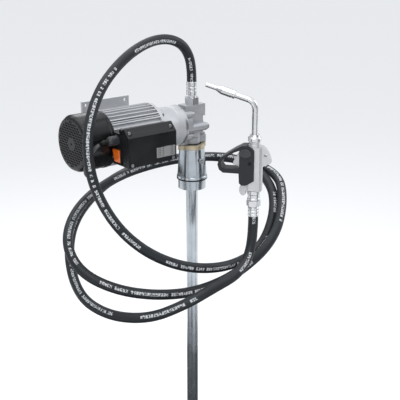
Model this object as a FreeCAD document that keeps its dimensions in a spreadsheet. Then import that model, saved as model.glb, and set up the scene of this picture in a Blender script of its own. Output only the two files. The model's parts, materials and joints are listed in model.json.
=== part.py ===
import FreeCAD, Part
import math
import os
import re
import Sketcher

from FreeCAD import Placement, Rotation, Vector

# Drum barrel pump: electric gear pump on a two inch bung connector, with suction tube,
# delivery hose and hand nozzle. Millimetres. +Z is the bung axis pointing up, the origin is
# the centre of the drum-top seating plane, and the motor lies along X with its fan towards -X.

SIZES = {
    # bung connector and suction tube
    "threadRadius": 29.8, "threadLength": 20, "neckRadius": 29, "sealRadius": 33.3,
    "sealHeight": 3.5, "coneFoot": 31.8, "coneTop": 27.7, "coneHeight": 69, "coneBore": 20,
    "tubeRadius": 12.5, "tubeBore": 10, "tubeEnd": -820, "fitGap": 0.05,
    "lugSpan": 27, "lugRadius": 9, "lugThick": 10, "gasketThick": 1,
    "plateThick": 14, "spigotRadius": 14, "spigotLength": 14, "clampHeight": 45,
    # pump
    "axisHeight": 125, "rotorGap": 0.1, "pocketFront": -40, "gearWidth": 15.8,
    "ringRadius": 24.5, "ringBore": 18.3, "pinCircle": 19, "pinRadius": 5,
    "eccentric": 2, "casingRadius": 31, "casingEnd": -20, "plateRadius": 43,
    "plateBack": -48, "pumpBolt": 33, "blockHalf": 25.5, "blockDepth": 14,
    "blockTop": 165, "bypassY": -22, "bypassZ": 118, "bypassRadius": 9, "bypassBore": 6,
    # delivery fittings
    "nutFlats": 27, "nutHeight": 15, "ferruleRadius": 11.2, "hoseStart": 213,
    "hoseRadius": 10.25,
    # motor
    "housingFront": -115, "housingRear": -232, "boreRadius": 44.05, "shellRadius": 50,
    "finRadius": 57, "finThick": 2.2, "finCount": 36, "stackFront": -135,
    "stackRear": -205, "airGap": 0.5, "rotorRadius": 26.5, "shaftRadius": 7.5,
    "pumpShaft": 6, "bearingRadius": 17.5, "bearingWidth": 11, "tieCircle": 53.6,
    "tieRadius": 2.4, "coverFace": -300, "coverFaceRadius": 51, "coverWall": 2,
    "holeRadius": 2, "holePitch": 5.7, "hubRadius": 12, "fanRadius": 46, "bladeCount": 8,
    "railLeft": -236, "railLength": 114, "railBack": 64, "railThick": 6,
    "railRise": 65, "railHeight": 32, "railHole": 3.5, "railInset": 9.5, "railHoleRise": 57.5,
    # terminal box
    "boxLeft": -241, "boxLength": 114, "lidFront": -112, "lidBack": -92.5,
    "boxBack": -58, "boxFloor": 89, "lidTop": 164, "lidSlope": 16, "baseTop": 152,
    "boxWall": 3, "screwInset": 8, "lowScrew": 94.5, "highScrew": 156,
    "rockerY": -73, "rockerZ": 107, "rockerWide": 21, "rockerTall": 28,
    "glandY": -71, "glandZ": 138, "glandEnd": -262,
    # nozzle, in its own frame: x forwards along the spout, z up the body
    "nozzleX": -4, "nozzleY": -206, "nozzleTurn": 128, "hoseEnd": -31,
    "pivotX": 19, "pivotZ": 101, "stemZ": 62, "stemRadius": 2.5,
    "spoutRadius": 6, "spoutBore": 4.5, "spoutBend": 20, "cornerZ": 204, "spoutRise": 17,
    # mains lead
    "cableRadius": 3.75, "coilX": -172, "coilY": 77.5, "coilZ": 122, "coilOuter": 50,
    "coilInner": 34, "coilWidth": 23, "plugX": -150, "plugY": 104.5, "plugZ": 88,
}

# Centreline of the delivery hose, from the ferrule on the pump to the ferrule on the nozzle.
HOSE_ROUTE = [
    (0, 0, 213), (0, 0, 241), (-9, -1, 273), (-33, -3, 299), (-76, -6, 312), (-131, -11, 306),
    (-194, -20, 278), (-257, -38, 232), (-303, -66, 168), (-311, -78, 98), (-299, -94, 33),
    (-268, -120, -33), (-217, -155, -85), (-139, -182, -122), (-25, -170, -147),
    (55, -170, -125), (113, -147, -63), (155, -88, -17), (149, 7, 17), (91, 79, 18),
    (-7, 116, 11), (-131, 111, 0), (-256, 60, -26), (-325, 1, -70), (-332, -61, -116),
    (-291, -126, -144), (-222, -174, -159), (-130, -190, -169), (-27, -196, -152),
    (67, -197, -101), (132, -153, -39), (178, -84, 0), (176, 62, 4), (64, 146, 6),
    (-84, 160, -8), (-219, 114, -54), (-282, 67, -114), (-314, -19, -184),
    (-301, -110, -202), (-253, -185, -196), (-190, -225, -167), (-120, -228, -149),
    (-62, -222, -142), (-22, -213, -118), (-4, -206, -76), (-4, -206, -31),
]

# Centreline of the mains cable, from the gland to the tied coil behind the motor.
CABLE_ROUTE = [
    (-262, -71, 138), (-271, -71, 138), (-283, -70, 134), (-292, -67.5, 125),
    (-298, -63.5, 113), (-301, -57.5, 100.5), (-300, -49.5, 88), (-295, -40, 76),
    (-286, -29, 66), (-275, -16.5, 59.5), (-263, -3, 56.5), (-254, 12, 56.5), (-249, 28, 59),
    (-248, 44, 63), (-247, 59, 67), (-240, 72, 69.5), (-228, 79.5, 70.5), (-213, 80, 72),
    (-199, 78, 74), (-187, 77.5, 75),
]

ALONG_X = Rotation(Vector(0, 1, 0), 90)
ALONG_Y = Rotation(Vector(1, 0, 0), -90)
UPRIGHT = Rotation()
HERE = Placement()

doc = FreeCAD.newDocument("DrumBarrelPump")
sheet = doc.addObject("Spreadsheet::Sheet", "dim")
nodes = {}


def fill_sheet():
    for row, (alias, value) in enumerate(SIZES.items(), start=1):
        sheet.set(f"A{row}", alias)
        sheet.set(f"B{row}", str(value))
        sheet.setAlias(f"B{row}", alias)
    doc.recompute()


def ref(text):
    """The expression with every alias pointing into the sheet."""
    return re.sub(r"[A-Za-z]+", lambda word: _cell(word.group()), str(text))


def _cell(word):
    return f"dim.{word}" if word in SIZES else word


def val(text):
    """The present value of an expression of aliases."""
    return float(sheet.evalExpression(ref(text)))


def seat(obj, x=0, y=0, z=0, turn=UPRIGHT, frame=HERE):
    """Puts an object at x, y, z, turned, in a frame."""
    obj.Placement = frame.multiply(Placement(Vector(val(x), val(y), val(z)), turn))
    return obj


def cylinder(name, radius, height, x=0, y=0, z=0, turn=UPRIGHT, frame=HERE):
    obj = doc.addObject("Part::Cylinder", name)
    obj.setExpression("Radius", ref(radius))
    obj.setExpression("Height", ref(height))
    return seat(obj, x, y, z, turn, frame)


def cone(name, radius1, radius2, height, x=0, y=0, z=0, turn=UPRIGHT, frame=HERE):
    obj = doc.addObject("Part::Cone", name)
    obj.setExpression("Radius1", ref(radius1))
    obj.setExpression("Radius2", ref(radius2))
    obj.setExpression("Height", ref(height))
    return seat(obj, x, y, z, turn, frame)


def block(name, x1, x2, y1, y2, z1, z2, frame=HERE):
    """A box between two corners."""
    obj = doc.addObject("Part::Box", name)
    obj.setExpression("Length", ref(f"({x2}) - ({x1})"))
    obj.setExpression("Width", ref(f"({y2}) - ({y1})"))
    obj.setExpression("Height", ref(f"({z2}) - ({z1})"))
    return seat(obj, x1, y1, z1, UPRIGHT, frame)


def hexagon(name, flats, height, x=0, y=0, z=0, turn=UPRIGHT, frame=HERE):
    """A hexagonal prism by its width across flats."""
    obj = doc.addObject("Part::Prism", name)
    obj.Polygon = 6
    obj.setExpression("Circumradius", ref(f"({flats}) / sqrt(3)"))
    obj.setExpression("Height", ref(height))
    return seat(obj, x, y, z, turn, frame)


def fuse(name, shapes):
    obj = doc.addObject("Part::MultiFuse", name)
    obj.Shapes = shapes
    obj.Refine = True
    return obj


def cut(name, base, tools):
    obj = doc.addObject("Part::Cut", name)
    obj.Base = base
    obj.Tool = tools[0] if len(tools) == 1 else fuse(name + "Tools", tools)
    obj.Refine = True
    return obj


def group(name, shapes):
    """Separate solids of one kind, in one node."""
    obj = doc.addObject("Part::Compound", name)
    obj.Links = shapes
    return obj


def feature(name, shape, frame=HERE):
    """A solid made by Part's own functions, with its sizes read from the sheet."""
    obj = doc.addObject("Part::Feature", name)
    obj.Shape = shape
    obj.Placement = frame
    return obj


def outline(body, name, role, points):
    """A closed sketch of straight lines whose corners are bound to the sheet."""
    sketch = body.newObject("Sketcher::SketchObject", name)
    plane = [item for item in body.Origin.OriginFeatures if item.Role == role][0]
    sketch.AttachmentSupport = [(plane, "")]
    sketch.MapMode = "FlatFace"
    corners = [Vector(val(x), val(y), 0) for x, y in points]
    count = len(points)
    for index in range(count):
        line = Part.LineSegment(corners[index], corners[(index + 1) % count])
        sketch.addGeometry(line, False)
    for index in range(count):
        following = (index + 1) % count
        sketch.addConstraint(Sketcher.Constraint("Coincident", index, 2, following, 1))
    for index, (x, y) in enumerate(points):
        bind_corner(sketch, index, "DistanceX", x, corners[index].x)
        bind_corner(sketch, index, "DistanceY", y, corners[index].y)
    return sketch


def bind_corner(sketch, index, kind, text, value):
    """Ties one coordinate of a corner to its expression, or to the axis where it is zero."""
    if abs(value) < 1e-9:
        axis = -2 if kind == "DistanceX" else -1
        sketch.addConstraint(Sketcher.Constraint("PointOnObject", index, 1, axis))
        return
    number = sketch.addConstraint(Sketcher.Constraint(kind, -1, 1, index, 1, value))
    sketch.setExpression(f"Constraints[{number}]", ref(text))


def turned(name, points, x=0, y=0, z=0, turn=UPRIGHT, frame=HERE):
    """A body of revolution about its own Z axis, from (radius, height) corners."""
    body = doc.addObject("PartDesign::Body", name)
    profile = outline(body, name + "Profile", "XZ_Plane", points)
    revolve = body.newObject("PartDesign::Revolution", name + "Turn")
    revolve.Profile = profile
    revolve.ReferenceAxis = (profile, ["V_Axis"])
    revolve.Angle = 360
    profile.Visibility = False
    return seat(body, x, y, z, turn, frame)


def padded(name, role, points, length, x=0, y=0, z=0, frame=HERE):
    """A body padded both ways from one of its planes."""
    body = doc.addObject("PartDesign::Body", name)
    profile = outline(body, name + "Profile", role, points)
    pad = body.newObject("PartDesign::Pad", name + "Pad")
    pad.Profile = profile
    pad.setExpression("Length", ref(length))
    pad.Midplane = True
    return seat(body, x, y, z, UPRIGHT, frame)


def node(name, obj):
    """Makes an object a sub-part: its label names the file."""
    obj.Label = name
    nodes[name] = obj
    return obj


def spring_shape(radius, wire, length, turns):
    """A round-wire compression spring along Z."""
    helix = Part.makeHelix(length / turns, length, radius)
    section = Part.Wire(Part.makeCircle(wire, Vector(radius, 0, 0), Vector(0, 1, 0)))
    return Part.Wire(helix).makePipeShell([section], True, True)


def tube_path(points):
    """Straight runs joined by tangent arcs, each as large as its two runs allow."""
    corners = [Vector(*point) for point in points]
    edges = []
    radii = []
    last = corners[0]
    for before, corner, after in zip(corners, corners[1:], corners[2:]):
        back = (before - corner).normalize()
        ahead = (after - corner).normalize()
        turn = math.pi - back.getAngle(ahead)
        reach = 0.45 * min((before - corner).Length, (after - corner).Length)
        radius = reach / math.tan(turn / 2)
        centre = corner + (back + ahead).normalize() * math.hypot(reach, radius)
        start = corner + back * reach
        end = corner + ahead * reach
        middle = centre + (corner - centre).normalize() * radius
        edges.append(Part.LineSegment(last, start).toShape())
        edges.append(Part.Arc(start, middle, end).toShape())
        radii.append(radius)
        last = end
    edges.append(Part.LineSegment(last, corners[-1]).toShape())
    return Part.Wire(edges), radii


def tube_shape(label, points, radius):
    """A round solid along a route, with its radii and volume reported."""
    path, radii = tube_path(points)
    first = Vector(*points[0])
    heading = Vector(*points[1]) - first
    section = Part.Wire(Part.makeCircle(radius, first, heading))
    shape = path.makePipeShell([section], True, False)
    if shape.Volume < 0:
        shape.reverse()
    expected = math.pi * radius ** 2 * path.Length
    print(label, "length", round(path.Length), "tightest radius", round(min(radii)),
          "volume ratio", round(shape.Volume / expected, 4))
    print(label, "radii", [round(item) for item in radii])
    return shape


# Bung connector, suction tube and foot valve

def bung_connector():
    shell = turned("ConnectorShell", [
        ("tubeRadius + fitGap", "-threadLength"), ("threadRadius", "-threadLength"),
        ("threadRadius", 0), ("neckRadius", 0), ("neckRadius", "sealHeight"),
        ("sealRadius - 0.3", "sealHeight"), ("sealRadius - 0.3", "sealHeight + 4.5"),
        ("coneFoot", "sealHeight + 6"), ("coneTop", "coneHeight - 3"),
        ("coneTop", "coneHeight"), ("coneBore", "coneHeight"), ("coneBore", 10),
        ("tubeRadius + fitGap", 10),
    ])
    hole = cylinder("ClampHole", "3 + fitGap", 16, 0, "-neckRadius - 5", "clampHeight", ALONG_Y)
    node("bung_connector", cut("BungConnector", shell, [hole]))
    node("connector_seal", turned("ConnectorSeal", [
        ("neckRadius + fitGap", 0), ("sealRadius - 1", 0), ("sealRadius", 1),
        ("sealRadius", "sealHeight"), ("neckRadius + fitGap", "sealHeight"),
    ]))
    shank = cylinder("ClampShank", 3, 19.5, 0, -32.2, "clampHeight", ALONG_Y)
    head = cylinder("ClampHead", 5, 4, 0, -36, "clampHeight", ALONG_Y)
    socket = hexagon("ClampSocket", 5, 2.5, 0, -36.1, "clampHeight", ALONG_Y)
    node("clamp_screw", cut("ClampScrew", fuse("ClampSolid", [shank, head]), [socket]))


def lug_plate(name, radius, lug, z, thick):
    """A round plate with two bolt lugs along X."""
    return fuse(name, [
        cylinder(name + "Disc", radius, thick, 0, 0, z),
        cylinder(name + "LugLeft", lug, thick, "-lugSpan", 0, z),
        cylinder(name + "LugRight", lug, thick, "lugSpan", 0, z),
        block(name + "Web", "-lugSpan", "lugSpan", f"-({lug})", lug, z, f"{z} + {thick}"),
    ])


def lug_holes(name, radius, z, depth):
    return [cylinder(f"{name}{side}", radius, depth, f"{sign}lugSpan", 0, z)
            for side, sign in (("Left", "-"), ("Right", ""))]


def suction_flanges():
    top = "coneHeight + lugThick"
    plate = lug_plate("LugPlate", "coneTop - 0.7", "lugRadius", "coneHeight", "lugThick")
    bore = cylinder("LugBore", "tubeRadius + fitGap", 14, 0, 0, "coneHeight - 1")
    holes = lug_holes("LugHole", 4, "coneHeight - 1", 14)
    node("lug_flange", cut("LugFlange", plate, [bore] + holes))
    node("flange_gasket", turned("FlangeGasket", [
        ("tubeRadius", top), (20, top), (20, f"{top} + gasketThick"),
        ("tubeRadius", f"{top} + gasketThick"),
    ]))
    seat_z = f"{top} + gasketThick"
    plate = lug_plate("InletPlate", 17, "lugRadius + 0.5", seat_z, "plateThick")
    spigot = cylinder("InletSpigot", "spigotRadius", "plateThick + spigotLength", 0, 0, seat_z)
    bore = cylinder("InletBore", 10, 40, 0, 0, 70)
    holes = lug_holes("InletHole", 4.1, 70, 40)
    node("inlet_flange", cut("InletFlange", fuse("InletSolid", [plate, spigot]), [bore] + holes))
    bolts = []
    for side, sign in (("Left", "-"), ("Right", "")):
        x = f"{sign}lugSpan"
        head_z = f"{seat_z} + plateThick"
        shank = cylinder("FlangeShank" + side, 3.9, 25.5, x, 0, "coneHeight")
        washer = cylinder("FlangeWasher" + side, 7.6, 1, x, 0, head_z)
        head = hexagon("FlangeHead" + side, 13, 4.5, x, 0, f"{head_z} + 1")
        bolts.append(fuse("FlangeBolt" + side, [shank, washer, head]))
    node("flange_bolts", group("FlangeBolts", bolts))


def suction_line():
    node("suction_tube", turned("SuctionTube", [
        ("tubeBore", "tubeEnd"), ("tubeRadius", "tubeEnd"),
        ("tubeRadius", "coneHeight + lugThick"), ("tubeBore", "coneHeight + lugThick"),
    ]))
    node("foot_valve_body", turned("FootValveBody", [
        (7, "tubeEnd - 18"), (15, "tubeEnd - 18"), (15, "tubeEnd + 14"), (13.5, "tubeEnd + 17"),
        ("tubeRadius + fitGap", "tubeEnd + 17"), ("tubeRadius + fitGap", "tubeEnd - 1"),
        (12, "tubeEnd - 1"), (12, "tubeEnd - 14"), (7, "tubeEnd - 14"),
    ]))
    node("foot_valve_disc", turned("FootValveDisc", [
        (0, "tubeEnd - 13.9"), (10.5, "tubeEnd - 13.9"), (10.5, "tubeEnd - 11"),
        (3, "tubeEnd - 10"), (3, "tubeEnd - 8"), (0, "tubeEnd - 8"),
    ]))
    cup = turned("StrainerCup", [
        (0, "tubeEnd - 34"), (14, "tubeEnd - 34"), (15, "tubeEnd - 33"), (15, "tubeEnd - 18"),
        (12.6, "tubeEnd - 18"), (12.6, "tubeEnd - 31.5"), (0, "tubeEnd - 31.5"),
    ])
    slots = []
    for index in range(4):
        slot = block(f"StrainerSlot{index}", -17, 17, -1.5, 1.5, "tubeEnd - 29", "tubeEnd - 21")
        slot.Placement = Placement(Vector(), Rotation(Vector(0, 0, 1), 45 * index)).multiply(
            slot.Placement)
        slots.append(slot)
    node("foot_strainer", cut("FootStrainer", cup, slots))


# Gear pump

def around_axis(obj, degrees):
    """Turns an object about the motor axis."""
    centre = Vector(0, 0, val("axisHeight"))
    spin = Placement(Vector(), Rotation(Vector(1, 0, 0), degrees), centre)
    obj.Placement = spin.multiply(obj.Placement)
    return obj


def x_cylinder(name, radius, x1, x2, y=0, z="axisHeight"):
    return cylinder(name, radius, f"({x2}) - ({x1})", x1, y, z, ALONG_X)


def pump_body():
    ring_z = "axisHeight + eccentric"
    solids = [
        x_cylinder("GearCase", "casingRadius", "pocketFront", "casingEnd", 0, "axisHeight + 1"),
        block("PumpBlock", -26, 18, -16, 17, 101, 146),
        block("OutletBlock", "-blockHalf", "blockHalf", "-blockDepth", "blockDepth", 139,
              "blockTop"),
        x_cylinder("BypassCase", "bypassRadius", "pocketFront", 18, "bypassY", "bypassZ"),
        block("BypassWeb", "pocketFront", 18, "bypassY", -8, 111, 126),
        cylinder("InletNeck", 18, 30, 0, 0, 95),
        x_cylinder("EndBoss", 14.5, 12, 23, 2, 120),
    ]
    for index in range(4):
        lug = x_cylinder(f"BodyLug{index}", 7, "pocketFront", "casingEnd", 0,
                         "axisHeight + pumpBolt")
        solids.append(around_axis(lug, 45 + 90 * index))
    hollows = [
        x_cylinder("GearPocket", "ringRadius + fitGap", "pocketFront - 1",
                   "pocketFront + gearWidth + 2 * rotorGap", 0, ring_z),
        cylinder("InletSocket", "spigotRadius + fitGap", 14.5, 0, 0, 94),
        cylinder("InletPort", 9, 14, 0, 0, 103),
        x_cylinder("InletWay", 5.5, -25, 5, 0, 111),
        cylinder("OutletPort", 10.05, 22, 0, 0, 144),
        x_cylinder("OutletWay", 5, -25, 5, 0, 145),
        x_cylinder("ShaftPocket", "pumpShaft + 0.1", -25, -14),
        x_cylinder("BypassBore", "bypassBore", -22, 19, "bypassY", "bypassZ"),
        cylinder("BoltRelief", 8.4, 10, "-lugSpan", 0, 90),
        cylinder("ReliefPort", 2, 22, -4, "bypassY", 114.6, ALONG_Y),
        cylinder("BypassPort", 2, 35, -19.5, "bypassY", "bypassZ",
                 Rotation(Vector(1, 0, 0), -39.2)),
    ]
    for index in range(4):
        hole = x_cylinder(f"BodyHole{index}", "3 + fitGap", "pocketFront - 1", "casingEnd + 1",
                          0, "axisHeight + pumpBolt")
        hollows.append(around_axis(hole, 45 + 90 * index))
    body = fuse("PumpSolid", solids)
    body.Refine = False
    for index, hollow in enumerate(hollows):
        body = cut(f"PumpBody{index}", body, [hollow])
        body.Refine = False
    node("pump_body", body)


def pump_plate():
    disc = turned("PlateDisc", [
        ("pumpShaft + fitGap", "pocketFront"), ("plateRadius - 1", "pocketFront"),
        ("plateRadius", "pocketFront - 1"), ("plateRadius", "plateBack"), (13, "plateBack"),
        (13, "plateBack + 5"), ("pumpShaft + fitGap", "plateBack + 5"),
    ], 0, 0, "axisHeight", ALONG_X)
    holes = []
    for index in range(4):
        hole = x_cylinder(f"PlateHole{index}", "3 + fitGap", -50, -39, 0,
                          "axisHeight + pumpBolt")
        holes.append(around_axis(hole, 45 + 90 * index))
    node("pump_plate", cut("PumpPlate", disc, holes))
    node("shaft_seal", turned("ShaftSeal", [
        ("pumpShaft + 0.03", "plateBack + 0.2"), (12.95, "plateBack + 0.2"),
        (12.95, "plateBack + 4.9"), ("pumpShaft + 0.03", "plateBack + 4.9"),
    ], 0, 0, "axisHeight", ALONG_X))
    screws = []
    for index in range(4):
        height = "axisHeight + pumpBolt"
        shank = x_cylinder(f"PumpShank{index}", 3, -54, "casingEnd", 0, height)
        head = x_cylinder(f"PumpHead{index}", 5, "casingEnd", "casingEnd + 6", 0, height)
        socket = hexagon(f"PumpSocket{index}", 5, 4, "casingEnd + 3", 0, height, ALONG_X)
        screw = cut(f"PumpScrew{index}", fuse(f"PumpScrewSolid{index}", [shank, head]),
                    [socket])
        screws.append(around_axis(screw, 45 + 90 * index))
    node("pump_screws", group("PumpScrews", screws))


def inner_rotor_wire(scale=1.0):
    """The six-lobed rotor: the curve that stays in touch with seven round lobes."""
    pins = 7
    circle = val("pinCircle")
    pin = val("pinRadius") + 0.12
    offset = val("eccentric")
    points = []
    for step in range(180):
        angle = 2 * math.pi * step / 180
        lean = math.atan2(math.sin((1 - pins) * angle),
                          circle / (offset * pins) - math.cos((1 - pins) * angle))
        x = (circle * math.cos(angle) - pin * math.cos(angle + lean)
             - offset * math.cos(pins * angle))
        y = (-circle * math.sin(angle) + pin * math.sin(angle + lean)
             + offset * math.sin(pins * angle))
        points.append(Vector(0, y * scale, -x * scale))
    curve = Part.BSplineCurve()
    curve.interpolate(points, PeriodicFlag=True)
    return Part.Wire(curve.toShape())


def gerotor():
    front = val("pocketFront") + val("rotorGap")
    lobed = Part.Face(inner_rotor_wire()).extrude(Vector(val("gearWidth"), 0, 0))
    bore = Part.makeCylinder(val("pumpShaft"), 30, Vector(-5, 0, 0), Vector(1, 0, 0))
    place = Placement(Vector(front, 0, val("axisHeight")), UPRIGHT)
    node("inner_rotor", feature("InnerRotor", lobed.cut(bore), place))
    ring_z = "axisHeight + eccentric"
    outer = x_cylinder("RingBlank", "ringRadius", front, f"{front} + gearWidth", 0, ring_z)
    hollow = x_cylinder("RingHollow", "ringBore", f"{front} - 1", f"{front} + gearWidth + 1",
                        0, ring_z)
    lobes = []
    for index in range(7):
        lobe = x_cylinder(f"RingLobe{index}", "pinRadius", front, f"{front} + gearWidth", 0,
                          f"{ring_z} - pinCircle")
        centre = Vector(0, 0, val(ring_z))
        spin = Placement(Vector(), Rotation(Vector(1, 0, 0), 360 / 7 * index), centre)
        lobe.Placement = spin.multiply(lobe.Placement)
        lobes.append(lobe)
    node("outer_rotor", fuse("OuterRotor", [cut("RingShell", outer, [hollow])] + lobes))


def bypass_valve():
    node("bypass_poppet", turned("BypassPoppet", [
        (0, -21.5), (2, -21.5), (5.95, -17.5), (5.95, -10), (3.2, -10), (3.2, -6), (0, -6),
    ], 0, "bypassY", "bypassZ", ALONG_X))
    spring = spring_shape(4.4, 0.6, 16, 6)
    place = Placement(Vector(-9, val("bypassY"), val("bypassZ")), ALONG_X)
    node("bypass_spring", feature("BypassSpring", spring, place))
    plug = x_cylinder("CapPlug", "bypassBore - fitGap", 9, 18, "bypassY", "bypassZ")
    rim = x_cylinder("CapRim", 8.4, 18, 20.5, "bypassY", "bypassZ")
    head = hexagon("CapHead", 13, 4.5, 20.5, "bypassY", "bypassZ", ALONG_X)
    node("bypass_cap", fuse("BypassCap", [plug, rim, head]))


def delivery_fittings():
    nut_top = "blockTop + nutHeight"
    spigot = cylinder("OutletSpigot", 10, 17, 0, 0, "blockTop - 15")
    prism = hexagon("OutletHex", "nutFlats", "nutHeight", 0, 0, "blockTop")
    round_off = turned("OutletRound", [
        (0, "blockTop"), (14.4, "blockTop"), (15.7, "blockTop + 1.2"),
        (15.7, f"{nut_top} - 1.2"), (14.4, nut_top), (0, nut_top),
    ])
    nut = doc.addObject("Part::MultiCommon", "OutletNutShape")
    nut.Shapes = [prism, round_off]
    bore = cylinder("OutletBore", 6, 40, 0, 0, 148)
    node("outlet_nut", cut("OutletNut", fuse("OutletSolid", [spigot, nut]), [bore]))
    node("hose_ferrule_pump", turned("HoseFerrulePump", ferrule_profile(nut_top, "hoseStart")))


def ferrule_profile(low, high):
    """A crimped steel ferrule: bands between shallow grooves."""
    outer = "ferruleRadius"
    groove = "ferruleRadius - 0.7"
    points = [(6, low), (9.6, low), (9.6, f"{low} + 3"), (outer, f"{low} + 4.2")]
    for index in range(2):
        start = f"{high} - 19 + {index * 7}"
        points += [(outer, start), (groove, f"{start} + 0.8"), (groove, f"{start} + 2.2"),
                   (outer, f"{start} + 3")]
    points += [(outer, f"{high} - 0.8"), ("ferruleRadius - 0.6", high), (6, high)]
    return points


# Motor

def lantern():
    shell = turned("LanternShell", [
        (14, -48), (14, -56), (36, -58), (36, -98), (9, -98), (9, -102),
        ("bearingRadius", -102), ("bearingRadius", "housingFront"),
        ("finRadius", "housingFront"), ("finRadius", -108.5), (48.6, -108.5), (46, -105),
        (45.4, -100),
        (41, -63), (43, -58), (43, -48),
    ], 0, 0, "axisHeight", ALONG_X)
    holes = [block("LanternWindow", -88, -66, -14, 14, 78, 95)]
    for index in range(4):
        hole = x_cylinder(f"LanternHole{index}", "3 + fitGap", -58, -47, 0,
                          "axisHeight + pumpBolt")
        holes.append(around_axis(hole, 45 + 90 * index))
        tie = x_cylinder(f"LanternTie{index}", "tieRadius + fitGap", -117, -105, 0,
                         "axisHeight + tieCircle")
        holes.append(around_axis(tie, 45 + 90 * index))
    node("lantern", cut("Lantern", shell, holes))


def motor_housing():
    rear, front = "housingRear", "housingFront"
    solids = [x_cylinder("HousingShell", "shellRadius", rear, front),
              block("BoxPad", -215, -150, "boxBack", -44, 107, 143)]
    for index in range(int(val("finCount"))):
        fin = block(f"Fin{index}", rear, front, "-finThick / 2", "finThick / 2",
                    "axisHeight + shellRadius - 2", "axisHeight + finRadius")
        solids.append(around_axis(fin, 360 / val("finCount") * index))
    bore = x_cylinder("HousingBore", "boreRadius", -240, -100)
    passage = cylinder("LeadPassage", 7, 20, -182, -62, 125, ALONG_Y)
    node("motor_housing", cut("MotorHousing", fuse("HousingSolid", solids), [bore, passage]))


def foot_rail(name, up):
    """A foot plate behind the motor with a web down to its shell; up is 1 or -1."""
    sign = "+" if up > 0 else "-"
    far = f"axisHeight {sign} railRise"
    near = f"axisHeight {sign} (railRise - railHeight)"
    web = f"axisHeight {sign} (railRise - railHeight + 6)"
    low, high = (near, far) if up > 0 else (far, near)
    web_low, web_high = (near, web) if up > 0 else (web, near)
    right = "railLeft + railLength"
    plate = block(name + "Plate", "railLeft", right, "railBack - railThick", "railBack", low,
                  high)
    shelf = block(name + "Web", "housingRear + 0.5", right, 36, "railBack - railThick", web_low,
                  web_high)
    clearance = x_cylinder(name + "Clear", "finRadius + 0.1", -240, -100)
    holes = [clearance]
    for index, x in enumerate(("railLeft + railInset", f"{right} - railInset")):
        holes.append(cylinder(f"{name}Hole{index}", "railHole", 20, x, 50,
                              f"axisHeight {sign} railHoleRise", ALONG_Y))
    return cut(name, fuse(name + "Solid", [plate, shelf]), holes)


def motor_inside():
    node("stator_core", turned("StatorCore", [
        ("rotorRadius + airGap", "stackRear"), ("boreRadius - fitGap", "stackRear"),
        ("boreRadius - fitGap", "stackFront"), ("rotorRadius + airGap", "stackFront"),
    ], 0, 0, "axisHeight", ALONG_X))
    ends = []
    for label, low, high in (("Rear", "stackRear - 17", "stackRear"),
                             ("Front", "stackFront", "stackFront + 17")):
        ends.append(turned("Winding" + label, [
            (30, low), (38, low), (42, f"{low} + 4"), (42, f"{high} - 2"), (40, high),
            (29, high), (28.5, f"{high} - 4"),
        ], 0, 0, "axisHeight", ALONG_X))
    node("stator_windings", group("StatorWindings", ends))
    node("rear_shield", rear_shield())
    bearings = []
    for label, low in (("FrontBearing", -113), ("RearBearing", -243)):
        bearings.append(turned(label, [
            ("shaftRadius + 0.03", low), (10.5, low), (10.5, low + 0.6), (14.5, low + 0.6),
            (14.5, low), ("bearingRadius - 0.02", low),
            ("bearingRadius - 0.02", f"{low} + bearingWidth"),
            ("shaftRadius + 0.03", f"{low} + bearingWidth"),
        ], 0, 0, "axisHeight", ALONG_X))
    node("motor_bearings", group("MotorBearings", bearings))


def rear_shield():
    disc = turned("ShieldDisc", [
        ("bearingRadius", "housingRear"), ("shellRadius", "housingRear"),
        ("shellRadius", "housingRear - 7"), (24, "housingRear - 7"), (22, -246), (8.5, -246),
        (8.5, -243), ("bearingRadius", -243),
    ], 0, 0, "axisHeight", ALONG_X)
    lugs = []
    holes = []
    for degrees in (0, 115, 245):
        lug = block(f"ShieldLug{degrees}", -239, -232, -5, 5, "axisHeight + 44",
                    "axisHeight + finRadius - 1")
        hole = cylinder(f"ShieldHole{degrees}", 1.6, 20, -235.5, 0, "axisHeight + 45")
        lugs.append(around_axis(lug, degrees))
        holes.append(around_axis(hole, degrees))
    for index in range(4):
        tie = x_cylinder(f"ShieldTie{index}", 5, -239, -232, 0, "axisHeight + tieCircle - 4")
        lugs.append(around_axis(tie, 45 + 90 * index))
        hole = x_cylinder(f"ShieldTieHole{index}", "tieRadius + fitGap", -240, -231, 0,
                          "axisHeight + tieCircle")
        holes.append(around_axis(hole, 45 + 90 * index))
    return cut("RearShield", fuse("ShieldSolid", [disc] + lugs), holes)


def tie_bolts():
    bolts = []
    for index in range(4):
        height = "axisHeight + tieCircle"
        shank = x_cylinder(f"TieShank{index}", "tieRadius", -238, -108.5, 0, height)
        head = hexagon(f"TieHead{index}", 8, 4.5, -108.5, 0, height, ALONG_X)
        bolt = fuse(f"TieBolt{index}", [shank, head])
        bolts.append(around_axis(bolt, 45 + 90 * index))
    node("tie_bolts", group("TieBolts", bolts))


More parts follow.
